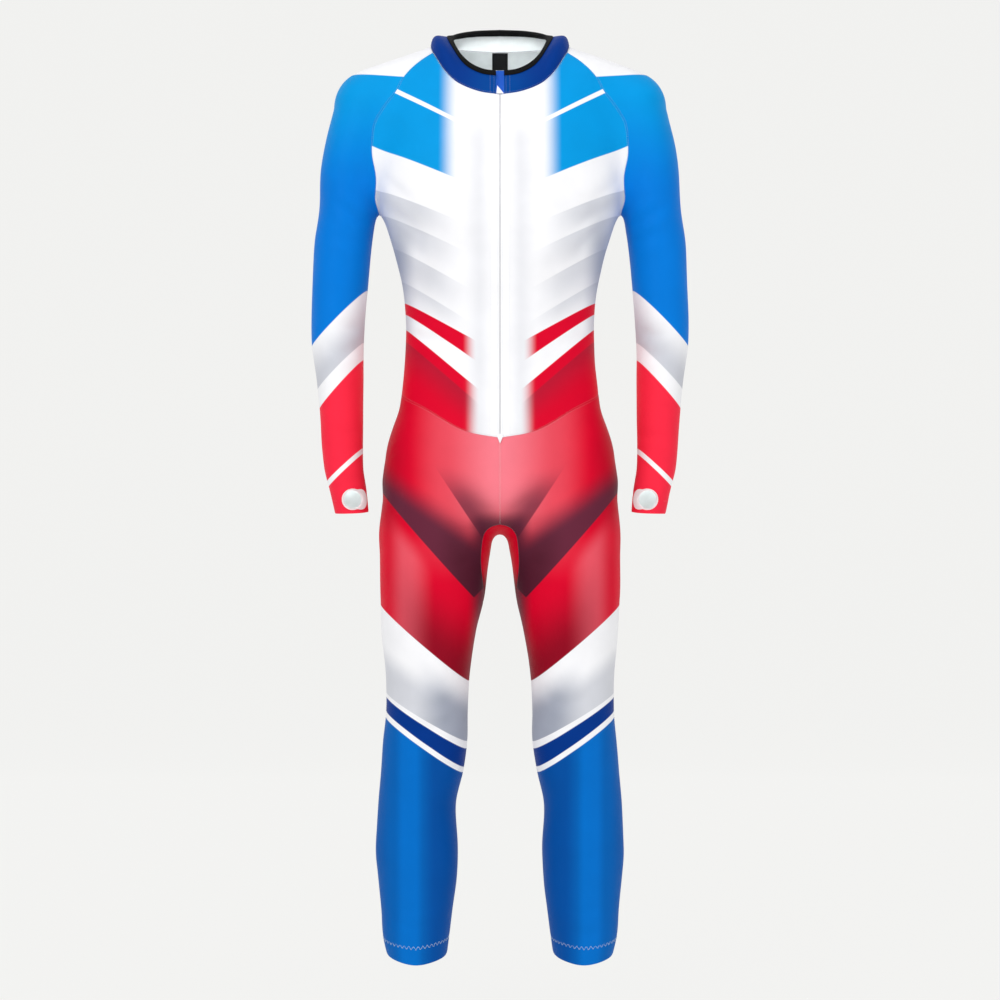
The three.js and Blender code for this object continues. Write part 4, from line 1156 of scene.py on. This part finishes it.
def raised(line):
    """A line moved out from the cloth."""
    return line + normals_on(line[None])[0] * STITCH["lift"]


# Operators: one for each group of pieces


HANDS = (("left", 1), ("right", -1))


class SuitOperator:
    """What every operator of the suit shares."""

    bl_options = {"REGISTER", "UNDO"}


def make_panel(name, node_name, side, print_name):
    """One panel of printed cloth."""
    outer, inner, uv = cloth_skins(name, side)
    looks = [printed_cloth(print_name), lining_cloth()]
    return shell(f"cloth_{node_name}", outer, inner, looks, uv), outer


class SUIT_OT_body(SuitOperator, bpy.types.Operator):
    """Makes the fronts and the back"""

    bl_idname = "suit.body"
    bl_label = "Fronts and Back"

    def execute(self, context):
        panels = (("front", "front_left", 1), ("front", "front_right", -1), ("back", "back", 1))
        for name, node_name, side in panels:
            piece, grid = make_panel(name, node_name, side, "torso")
            sewn(piece, "print_white", node_name)
        return {"FINISHED"}


def thumb_edge(side):
    """The rim of the thumb hole on the sleeve's outer face, and the way out from its middle."""
    angle = np.linspace(0, 2 * math.pi, THUMB["points"], endpoint=False)
    spoke = np.stack([np.cos(angle), 0 * angle, np.sin(angle)], axis=1)
    ring = np.array([THUMB["x"], THUMB["y"], THUMB["z"]]) + spoke * THUMB["radius"]
    for _ in range(14):
        up = (cloth_distance(ring + (0, PROBE, 0)) - cloth_distance(ring - (0, PROBE, 0))) / (2 * PROBE)
        ring[:, 1] -= cloth_distance(ring) / np.minimum(up, -0.3)
    return ring * (side, 1, 1), spoke * (side, 1, 1)


def spoke_side(place, side):
    """How far to the outer side a place on the thumb hole's rim is, from -1 to 1."""
    return (place[0] * side - THUMB["x"]) / THUMB["radius"]


def punch_thumb_hole(piece, side):
    """Cuts the round thumb hole through the front of a sleeve end."""
    bpy.ops.mesh.primitive_cylinder_add(
        vertices=THUMB["points"], radius=THUMB["radius"] * MM, depth=THUMB["cut"] * MM,
        location=Vector((side * THUMB["x"], THUMB["y"], THUMB["z"])) * MM, rotation=(math.pi / 2, 0, 0),
    )
    tool = bpy.context.object
    cut = piece.modifiers.new("hole", "BOOLEAN")
    cut.operation, cut.object, cut.solver = "DIFFERENCE", tool, "EXACT"
    whole = piece.evaluated_get(bpy.context.evaluated_depsgraph_get())
    piece.data = bpy.data.meshes.new_from_object(whole)
    piece.modifiers.clear()
    bpy.data.objects.remove(tool)
    smooth(piece.data)


class SUIT_OT_sleeves(SuitOperator, bpy.types.Operator):
    """Makes the fronts and backs of the sleeves, with their thumb holes"""

    bl_idname = "suit.sleeves"
    bl_label = "Sleeves"

    def execute(self, context):
        for hand, side in HANDS:
            for half in ("front", "back"):
                node_name = f"sleeve_{half}_{hand}"
                piece, grid = make_panel(f"sleeve_{half}", node_name, side, "sleeve")
                if half == "front":
                    punch_thumb_hole(piece, side)
                sewn(piece, "print_blue", node_name)
        return {"FINISHED"}


class SUIT_OT_thumb_bindings(SuitOperator, bpy.types.Operator):
    """Makes the bindings folded round the edges of the thumb holes"""

    bl_idname = "suit.thumb_bindings"
    bl_label = "Thumb Hole Bindings"

    def execute(self, context):
        look = plain_cloth("thumb binding", "thumb", roughness=0.7, sheen=0.2, grain=1600)
        wall, reach = THUMB["wall"], THUMB["reach"]
        for hand, side in HANDS:
            ring, spoke = thumb_edge(side)
            normals = normals_on(ring[None])[0]
            outwards = unit(spoke - normals * (spoke * normals).sum(axis=1, keepdims=True))
            arc = np.linspace(math.pi / 2, -math.pi / 2, 7)
            sections, widths = [], []
            for place, out, way in zip(ring, outwards, normals):
                toward_body = smooth_step(-spoke_side(place, side), 0.35, 0.95)
                lip = THUMB["lip"] + (THUMB["wide_lip"] - THUMB["lip"]) * toward_body
                fold = np.array([
                    (lip, 0.5), (lip * 0.5, 0.62),
                    *((-reach * math.cos(a), -0.75 + 1.3 * math.sin(a)) for a in arc),
                    (lip * 0.5, -2.1), (lip, -2.0),
                ])
                widths.append(lengths(np.pad(fold, ((0, 0), (0, 1))))[-1] * MM)
                step = np.gradient(fold, axis=0)
                half_wall = unit(np.stack([step[:, 1], -step[:, 0]], axis=1)) * wall * 0.5
                profile = np.vstack([fold + half_wall, (fold - half_wall)[::-1]])
                sections.append(place + profile[:, :1] * out + profile[:, 1:] * way)
            sections = np.array(sections)
            piece = swept(f"thumb_fold_{hand}", sections, [look], closed=True)
            finished(piece, "lining_white", f"thumb_binding_{hand}")
        return {"FINISHED"}


class SUIT_OT_legs(SuitOperator, bpy.types.Operator):
    """Makes the fronts and backs of the legs and the gusset between them"""

    bl_idname = "suit.legs"
    bl_label = "Legs and Gusset"

    def execute(self, context):
        for hand, side in HANDS:
            for half in ("front", "back"):
                node_name = f"leg_{half}_{hand}"
                piece, grid = make_panel(f"leg_{half}", node_name, side, "leg")
                sewn(piece, "print_red", node_name)
        piece, grid = make_panel("crotch_gusset", "crotch_gusset", 1, "gusset")
        sewn(piece, "print_red", "crotch_gusset")
        return {"FINISHED"}


# Brings the largest value of v(1 - v)(1 - v) to 1
LOW_SWELL_PEAK = 27 / 4


@functools.cache
def collar_rows():
    """The collar's outer face from the neck seam to the rim, and its outward directions."""
    parts = [seam(f"neck_{part}") for part in ("front", "shoulder_front", "shoulder_back", "back")]
    parts[-1] = parts[-1][::-1]
    half = np.vstack([parts[0], *(line[1:] for line in parts[1:])])
    at_split = np.interp(COLLAR["split_half"], half[:, 0][:40], lengths(half)[:40])
    whole = lengths(half)[-1]
    neck = along(half, np.linspace(at_split, whole, 100))
    base = lengths(neck) / lengths(neck)[-1]
    rim_curve = smooth_curve(COLLAR_RIM, 40)
    total = lengths(rim_curve)[-1]
    start = COLLAR["split_half"]
    rim = along(rim_curve, start + (total - start) * base)
    neck, rim = (np.vstack([line, (line * MIRROR)[::-1][1:]]) for line in (neck, rim))
    straight = outward_of(np.stack([neck, rim]))[0]
    v = graded(np.linspace(0, 1, 12))[:, None, None]
    up = unit(rim - neck)
    side = smooth_step(np.abs(neck[:, :1]), COLLAR["side_from"], COLLAR["side_to"])
    low_swell = v * (1 - v) ** 2 * LOW_SWELL_PEAK
    swell = COLLAR["swell"] * np.sin(np.pi * v) + COLLAR["side_swell"] * side * low_swell
    grid = neck + (rim - neck) * v + up * COLLAR["off_seam"] * (1 - v) + straight * swell
    return grid, outward_of(grid)


def outward_of(grid):
    """The directions that point out of a ring of cloth."""
    ways = unit(np.cross(np.gradient(grid, axis=1), np.gradient(grid, axis=0)))
    from_middle = grid - (0, 0, COLLAR["middle_z"])
    return ways * np.sign((ways * from_middle).sum(axis=2, keepdims=True))


class SUIT_OT_collar(SuitOperator, bpy.types.Operator):
    """Makes the collar, its lining, its binding and the guard behind its split"""

    bl_idname = "suit.collar"
    bl_label = "Collar"

    def execute(self, context):
        grid, out = collar_rows()
        uv = grid_uv(grid)
        wall, gap, lining = COLLAR["wall"], COLLAR["gap"], COLLAR["lining_wall"]
        ease = COLLAR["ease"] * hump(np.minimum.reduce(from_edges(grid)[:3]), COLLAR["ease_width"])
        looks = [printed_cloth("collar"), lining_cloth()]
        piece = shell("cloth_collar", grid - out * ease[..., None], grid - out * wall, looks, uv)
        sewn(piece, "collar_blue", "collar")
        under, back = wall + gap, wall + gap + lining
        piece = shell("cloth_collar_lining", grid - out * under, grid - out * back, [lining_cloth()], uv)
        sewn(piece, "lining_white", "collar_lining")
        self.bind(grid, out, back)
        self.guard()
        return {"FINISHED"}

    def bind(self, grid, out, depth):
        """Folds the binding over the rim."""
        rim = grid[-1]
        up = unit(rim - grid[-4])
        near, far = BINDING["room"], -depth - BINDING["lining_room"]
        middle, half = (near + far) / 2, (near - far) / 2
        front, low = -BINDING["outer_depth"], -BINDING["inner_depth"]
        turn = np.linspace(0, math.pi, 9)
        wall = BINDING["wall"]
        above, tip = BINDING["above"], BINDING["tip"]

        def face(off, end, rise):
            """One face of the fold, so far off the collar, and so far at its two ends."""
            arch = [(middle + (half + off) * math.cos(a), above + rise * math.sin(a)) for a in turn]
            return [(near + end, front), (near + off, front + tip), (near + off, front / 2), *arch,
                    (far - off, low / 2), (far - off, low + tip), (far - end, low)]

        outer, inner = face(wall, wall * 0.75, 1.9), face(0, 0.1, 0.7)
        profile = np.array(outer + inner[::-1])
        across, height = profile[:, :1], profile[:, 1:]
        sections = []
        for j, over in enumerate(up):
            column = np.hstack([grid[::-1, j], out[::-1, j]])
            length = lengths(column[:, :3])
            place = np.stack([np.interp(-height[:, 0], length, part) for part in column.T], axis=1)
            sections.append(place[:, :3] + place[:, 3:] * across + over * np.maximum(height, 0))
        sections = np.array(sections)
        edge = lengths(rim)
        round_section = lengths(np.pad(profile, ((0, 0), (0, 1))))
        uv = np.stack(np.broadcast_arrays(edge[:, None], round_section[None]), axis=-1).reshape(-1, 2)
        piece = swept("fold_collar_binding", sections, [ribbed_binding()], uv=uv)
        finished(piece, "binding_black", "collar_binding")

    def guard(self):
        """Hangs the guard behind the split."""
        stops = np.linspace(GUARD["above"], -GUARD["below"], GUARD["rows"])
        across = np.linspace(-GUARD["half"], GUARD["half"], GUARD["columns"])
        at_split = split_place(np.stack([0 * stops, stops, 0 * stops], axis=1))
        line = np.where((stops > 0)[:, None], at_split, to_cloth(at_split))
        hollow = across**2 / (2 * GUARD["round"])
        outer = np.zeros((len(stops), len(across), 3))
        outer[..., 0] = across
        outer[..., 1] = line[:, None, 1] + GUARD["depth"] + hollow
        outer[..., 2] = line[:, None, 2]
        inner = outer + (0, GUARD["wall"], 0)
        look = plain_cloth("zip guard", "guard", roughness=0.5, sheen=0.1)
        piece = shell("cloth_zip_guard", outer, inner, [look], grid_uv(outer))
        sewn(piece, "collar_blue", "zip_guard")


def split_place(places):
    """Places across, up the collar's split and outwards from it, in the suit's frame."""
    origin = corner("neck_front")
    up = unit(np.array(COLLAR_RIM[0], float) - origin)
    across = np.array([1.0, 0, 0])
    return origin + np.asarray(places) @ np.stack([across, up, np.cross(across, up)])


def waist_place(places):
    """Places across, up and outwards from the bottom of the zip, in the suit's frame."""
    origin = corner("waist_front")
    out = unit(normals_on(origin[None, None])[0, 0] * (0, 1, 1))
    across = np.array([1.0, 0, 0])
    return origin + np.asarray(places) @ np.stack([across, np.cross(out, across), out])


def from_shape(name, shape, look):
    """The object for a finished bmesh, with one look."""
    mesh = bpy.data.meshes.new(name)
    shape.to_mesh(mesh)
    shape.free()
    mesh.materials.append(look)
    smooth(mesh)
    return link(name, mesh)


def tile(name, outline, near, far, place, look, round_edge):
    """A small flat piece with rounded edges, from its outline and its two faces."""
    shape = bmesh.new()
    rings = []
    for level in (near, far):
        corners = place(np.array([(x, y, level) for x, y in outline], float)) * MM
        rings.append([shape.verts.new(p) for p in corners])
    shape.faces.new(rings[0])
    shape.faces.new(rings[1][::-1])
    for k in range(len(outline)):
        following = (k + 1) % len(outline)
        shape.faces.new([rings[0][following], rings[0][k], rings[1][k], rings[1][following]])
    bmesh.ops.recalc_face_normals(shape, faces=shape.faces)
    bmesh.ops.bevel(
        shape, geom=shape.edges[:], offset=round_edge * MM, segments=3, profile=0.6, affect="EDGES"
    )
    return from_shape(name, shape, look)


def joined(name, pieces):
    """Several meshes made into one piece."""
    shape = bmesh.new()
    look = pieces[0].data.materials[0]
    for piece in pieces:
        shape.from_mesh(piece.data)
        bpy.data.objects.remove(piece)
    return from_shape(name, shape, look)


# Outlines of the zip's small pieces: places across and up, from the foot of the split or of the zip
OUTLINES = {
    "plate": [
        (-3.1, 2.4), (-2.3, 1.9), (0.5, 1.9), (1.3, 2.4), (1.3, 5.6), (-0.1, 7.9), (-1.7, 7.9), (-3.1, 5.6),
    ],
    "post": [(-1.6, 5.4), (-0.2, 5.4), (-0.2, 7.4), (-1.6, 7.4)],
    "pull": [(-4.1, 2.4), (-1.0, 2.4), (-0.9, 7.2), (-1.7, 9.4), (-3.4, 9.4), (-4.2, 7.2)],
    "cover": [(-5.6, 1.5), (5.6, 1.5), (3.4, 5.2), (-0.6, 10.8), (-4.2, 15.9), (-5.0, 9.0)],
    "end": [(-5, 6), (-4.2, 1.5), (0, -9), (4.2, 1.5), (5, 6)],
}


class SUIT_OT_zip(SuitOperator, bpy.types.Operator):
    """Makes the zip: tapes, coil, slider, pull, its cover and its end"""

    bl_idname = "suit.zip"
    bl_label = "Zip"

    def execute(self, context):
        self.tapes()
        self.coil(context.scene.suit_sewing)
        self.slider()
        self.cover()
        return {"FINISHED"}

    def tapes(self):
        """Lays a woven tape behind each front's edge."""
        look = plain_cloth("zip tape", "white", roughness=0.7, sheen=0.1)
        distances = np.linspace(ZIP["tape_from"], ZIP["tape_to"], 7)
        for hand, side in HANDS:
            base = drawn_in(panel("front"), ZIP["edge"]) * (side, 1, 1)
            rows = np.array([along(row, distances - ZIP["edge"]) for row in base[::2]])
            way = normals_on(rows)
            outer = rows - way * ZIP["tape_depth"]
            inner = outer - way * ZIP["tape_wall"]
            piece = shell(f"woven_tape_{hand}", outer, inner, [look], grid_uv(outer))
            sewn(piece, "tape_white", f"zip_tape_{hand}")

    def coil(self, sewing):
        """Sets the turns of the coil side by side behind the meeting edges."""
        line = seam("zip_line")
        line = line - normals_on(line[None])[0] * ZIP["coil_depth"]
        sizes = {
            "Pitch": sewing.tooth_pitch, "Length": TOOTH_LENGTH, "Radius": TOOTH_RADIUS,
            "Material": moulded_plastic(),
        }
        piece = grown("coil_turns", [line], row_tree("Zip coil", True), sizes)
        finished(piece, "zip_plastic", "zip_coil")

    def slider(self):
        """Makes the slider and its pull, tucked up under the cover."""
        look = moulded_plastic()
        plates = [
            tile(f"plate_{k}", OUTLINES["plate"], near, near - 0.8, split_place, look, 0.2)
            for k, near in enumerate((-1.9, -3.4))
        ]
        post = tile("post", OUTLINES["post"], -1.9, -4.1, split_place, look, 0.15)
        finished(joined("slider_body", [*plates, post]), "zip_plastic", "zip_slider")
        tab = tile("pull_tab", OUTLINES["pull"], -0.65, -1.35, split_place, look, 0.2)
        finished(tab, "zip_plastic", "zip_pull")

    def cover(self):
        """Makes the pointed cover at the top of the zip and the pointed end at its bottom."""
        look = plain_cloth("zip cover", "white", roughness=0.6, sheen=0.1, grain=1200)
        piece = tile("cloth_zip_cover", OUTLINES["cover"], 0.8, -0.2, split_place, look, 0.25)
        finished(piece, "tape_white", "zip_cover")
        piece = tile("cloth_zip_end", OUTLINES["end"], 1.6, 0.6, waist_place, look, 0.25)
        finished(piece, "tape_white", "zip_end_tab")


class SUIT_OT_label(SuitOperator, bpy.types.Operator):
    """Makes the bare woven label inside the back of the neck"""

    bl_idname = "suit.label"
    bl_label = "Neck Label"

    def execute(self, context):
        _, inner, _ = cloth_skins("back", 1)
        spine = inner[:, inner.shape[1] // 2]
        centre = along(spine, np.linspace(LABEL["below"], LABEL["height"], LABEL["rows"]))
        across = np.linspace(-LABEL["half_width"], LABEL["half_width"], LABEL["columns"])
        rows = to_cloth(centre[:, None] + across[None, :, None] * np.array([1.0, 0, 0]))
        way = normals_on(rows)
        outer = rows - way * LABEL["depth"]
        far = rows - way * (LABEL["depth"] + LABEL["wall"])
        look = plain_cloth("woven label", "black", roughness=0.5, sheen=0.1)
        piece = shell("woven_neck_label", outer, far, [look], grid_uv(outer))
        sewn(piece, "label_black", "neck_label")
        return {"FINISHED"}


def zigzag(line, distance, half):
    """A line that swings up and down, with its corners a distance apart along it."""
    stops = np.arange(0, lengths(line)[-1], distance)
    points = along(line, stops)
    points[1::2, 2] += half
    points[::2, 2] -= half
    return points


def clear_of_thumb_hole(line, side):
    """The stretches of a line on a sleeve's front that stay clear of the thumb hole's binding."""
    away = np.hypot(line[:, 0] * side - THUMB["x"], line[:, 2] - THUMB["z"])
    clear = away > THUMB["radius"] + THUMB["wide_lip"] + THUMB["clear"]
    breaks = np.flatnonzero(np.diff(clear)) + 1
    runs = zip(np.split(line, breaks), np.split(clear, breaks))
    return [run for run, free in runs if free[0] and len(run) > 2]


class SUIT_OT_stitching(SuitOperator, bpy.types.Operator):
    """Sews the rows of stitches beside the seams, the zip, the collar and the hems"""

    bl_idname = "suit.stitching"
    bl_label = "Stitching"

    def execute(self, context):
        beside = STITCH["beside"]
        zigzag_half = context.scene.suit_sewing.zigzag / MM
        torso, sleeve, leg, hem = [], [], [], []
        for side in (1, -1):
            front = cloth_skins("front", side)[0]
            torso += [line_at(front, edge, beside) for edge in ("right", "bottom", "top")]
            torso += [line_at(front, "left", distance) for distance in STITCH["front"]]
            for half in ("front", "back"):
                grid = cloth_skins(f"sleeve_{half}", side)[0]
                sleeve += [line_at(grid, edge, beside) for edge in ("left", "right")]
                cuff = line_at(grid, "bottom", STITCH["cuff"])
                sleeve += clear_of_thumb_hole(cuff, side) if half == "front" else [cuff]
                grid = cloth_skins(f"leg_{half}", side)[0]
                leg += [line_at(grid, edge, beside) for edge in ("left", "right", "top")]
                ankle = line_at(grid, "bottom", context.scene.suit_cloth.hem / MM)
                hem.append(zigzag(ankle, STITCH["zigzag_step"], zigzag_half))
        back = cloth_skins("back", 1)[0]
        torso += [line_at(back, edge, beside) for edge in ("left", "right", "top", "bottom")]
        for name, lines in (("torso", torso), ("sleeve", sleeve), ("leg", leg)):
            piece = stitched(f"{name}_stitches", [raised(line) for line in lines], thread_of(name))
            finished(piece, "print_white")
        piece = stitched("hem_zigzag", [raised(line) for line in hem], hem_thread(), ZIGZAG_PITCH)
        finished(piece, "tape_white")
        grid, out = collar_rows()
        grid = grid + out * STITCH["lift"]
        rows = [line_at(grid, edge, distance) for edge in ("left", "right") for distance in STITCH["split"]]
        rows += [line_at(grid, "top", STITCH["rim"])]
        piece = stitched("collar_stitches", rows, thread_of("collar"))
        finished(piece, "collar_blue")
        return {"FINISHED"}


# The suit's middle, in metres, and two strengths of light that have no setting
MIDDLE = (0, 0, -0.663)
WORLD_STRENGTH, WALL_POWER = 0.55, 26


class SUIT_OT_stage(SuitOperator, bpy.types.Operator):
    """Makes the backdrop, the lights and the camera"""

    bl_idname = "suit.stage"
    bl_label = "Stage"

    def execute(self, context):
        scene, stage = context.scene, context.scene.suit_stage
        self.backdrop(stage)
        camera = bpy.data.cameras.new("camera")
        camera.lens, camera.sensor_width = stage.lens, 36
        holder = link("camera", camera)
        holder.location = Vector(MIDDLE) + Vector((0, -stage.distance, 0))
        holder.rotation_euler = (math.pi / 2, 0, 0)
        scene.camera = holder
        scene.world = bpy.data.worlds.new("studio")
        scene.world.use_nodes = True
        sky = scene.world.node_tree.nodes["Background"].inputs
        sky[0].default_value, sky[1].default_value = (1, 1, 1, 1), WORLD_STRENGTH
        self.light("key", "AREA", stage.key, (-1.9, -3.4, 1.2), MIDDLE, size=2.2)
        self.light("fill", "AREA", stage.fill, (2.2, -3.0, -0.4), MIDDLE, size=2.6)
        self.light("wall", "AREA", WALL_POWER, (0.0, -1.4, 2.6), MIDDLE, size=2.8)
        cone = {"spot_size": 0.52, "spot_blend": 0.5, "shadow_soft_size": 0.02}
        self.light("neck light", "SPOT", 2.7, (0, -0.17, 0.34), (0, 0.06, 0.0), **cone)
        self.light("chest light", "POINT", 0.13, (0, -0.04, -0.05), shadow_soft_size=0.01)
        for side in (-1, 1):
            self.light("sleeve light", "POINT", 0.02, (side * 0.229, 0, -0.63), shadow_soft_size=0.004)
        scene.view_settings.view_transform = "Standard"
        return {"FINISHED"}

    def backdrop(self, stage):
        """Makes a floor that bends up into a wall, far enough back to be behind every view."""
        floor, wall, top, radius, half_width = -1.52, 4.4, 4.5, 1.2, 6
        profile = [(-wall, floor)]
        for a in np.linspace(0, math.pi / 2, 16):
            profile.append((wall - radius * (1 - math.sin(a)), floor + radius * (1 - math.cos(a))))
        profile.append((wall, top))
        points = [(x, y, z) for y, z in profile for x in (-half_width, half_width)]
        faces = [(2 * k, 2 * k + 1, 2 * k + 3, 2 * k + 2) for k in range(len(profile) - 1)]
        mesh = bpy.data.meshes.new("backdrop")
        mesh.from_pydata(points, [], faces)
        mesh.shade_smooth()
        material, tree, shader, place = new_material("backdrop", roughness=0.9, specular=0.1)
        dyed(tree, shader, place, (*stage.backdrop, 1), amount=0.01, scale=3)
        shader.inputs["Emission Color"].default_value = (1, 1, 0.985, 1)
        shader.inputs["Emission Strength"].default_value = stage.glow
        mesh.materials.append(material)
        link("backdrop", mesh)

    def light(self, name, kind, power, place, target=None, **settings):
        """Sets up a light, turned to a target if one is given."""
        made = bpy.data.lights.new(name, kind)
        made.energy = power
        for key, value in settings.items():
            setattr(made, key, value)
        lamp = link(name, made)
        lamp.location = place
        lamp.visible_camera = False
        if target is not None:
            lamp.rotation_euler = (Vector(target) - Vector(place)).to_track_quat("-Z", "Y").to_euler()


class SUIT_PT_panel(bpy.types.Panel):
    """The suit's settings and its operators"""

    bl_label = "Race Suit"
    bl_idname = "SUIT_PT_panel"
    bl_space_type = "VIEW_3D"
    bl_region_type = "UI"
    bl_category = "Race Suit"

    def draw(self, context):
        for group in (name for name, _ in SETTINGS):
            box = self.layout.box()
            settings = getattr(context.scene, group)
            for key in settings.bl_rna.properties.keys():
                if key not in ("rna_type", "name"):
                    box.prop(settings, key)
        for operator in OPERATORS:
            self.layout.operator(operator.bl_idname)


SETTINGS = [
    ("suit_cloth", ClothSettings),
    ("suit_print", PrintSettings),
    ("suit_sewing", SewingSettings),
    ("suit_stage", StageSettings),
]
OPERATORS = [
    SUIT_OT_body, SUIT_OT_sleeves, SUIT_OT_thumb_bindings, SUIT_OT_legs, SUIT_OT_collar, SUIT_OT_zip,
    SUIT_OT_label, SUIT_OT_stitching, SUIT_OT_stage,
]


def register():
    """Registers the settings, the operators and the panel."""
    for name, group in SETTINGS:
        bpy.utils.register_class(group)
        setattr(bpy.types.Scene, name, bpy.props.PointerProperty(type=group))
    for item in (*OPERATORS, SUIT_PT_panel):
        bpy.utils.register_class(item)


def unregister():
    """Takes them away again."""
    for item in (SUIT_PT_panel, *reversed(OPERATORS)):
        bpy.utils.unregister_class(item)
    for name, group in reversed(SETTINGS):
        delattr(bpy.types.Scene, name)
        bpy.utils.unregister_class(group)


def main():
    """Builds the suit and its stage."""
    register()
    for operator in OPERATORS:
        group, name = operator.bl_idname.split(".")
        getattr(getattr(bpy.ops, group), name)()


if __name__ == "__main__":
    main()
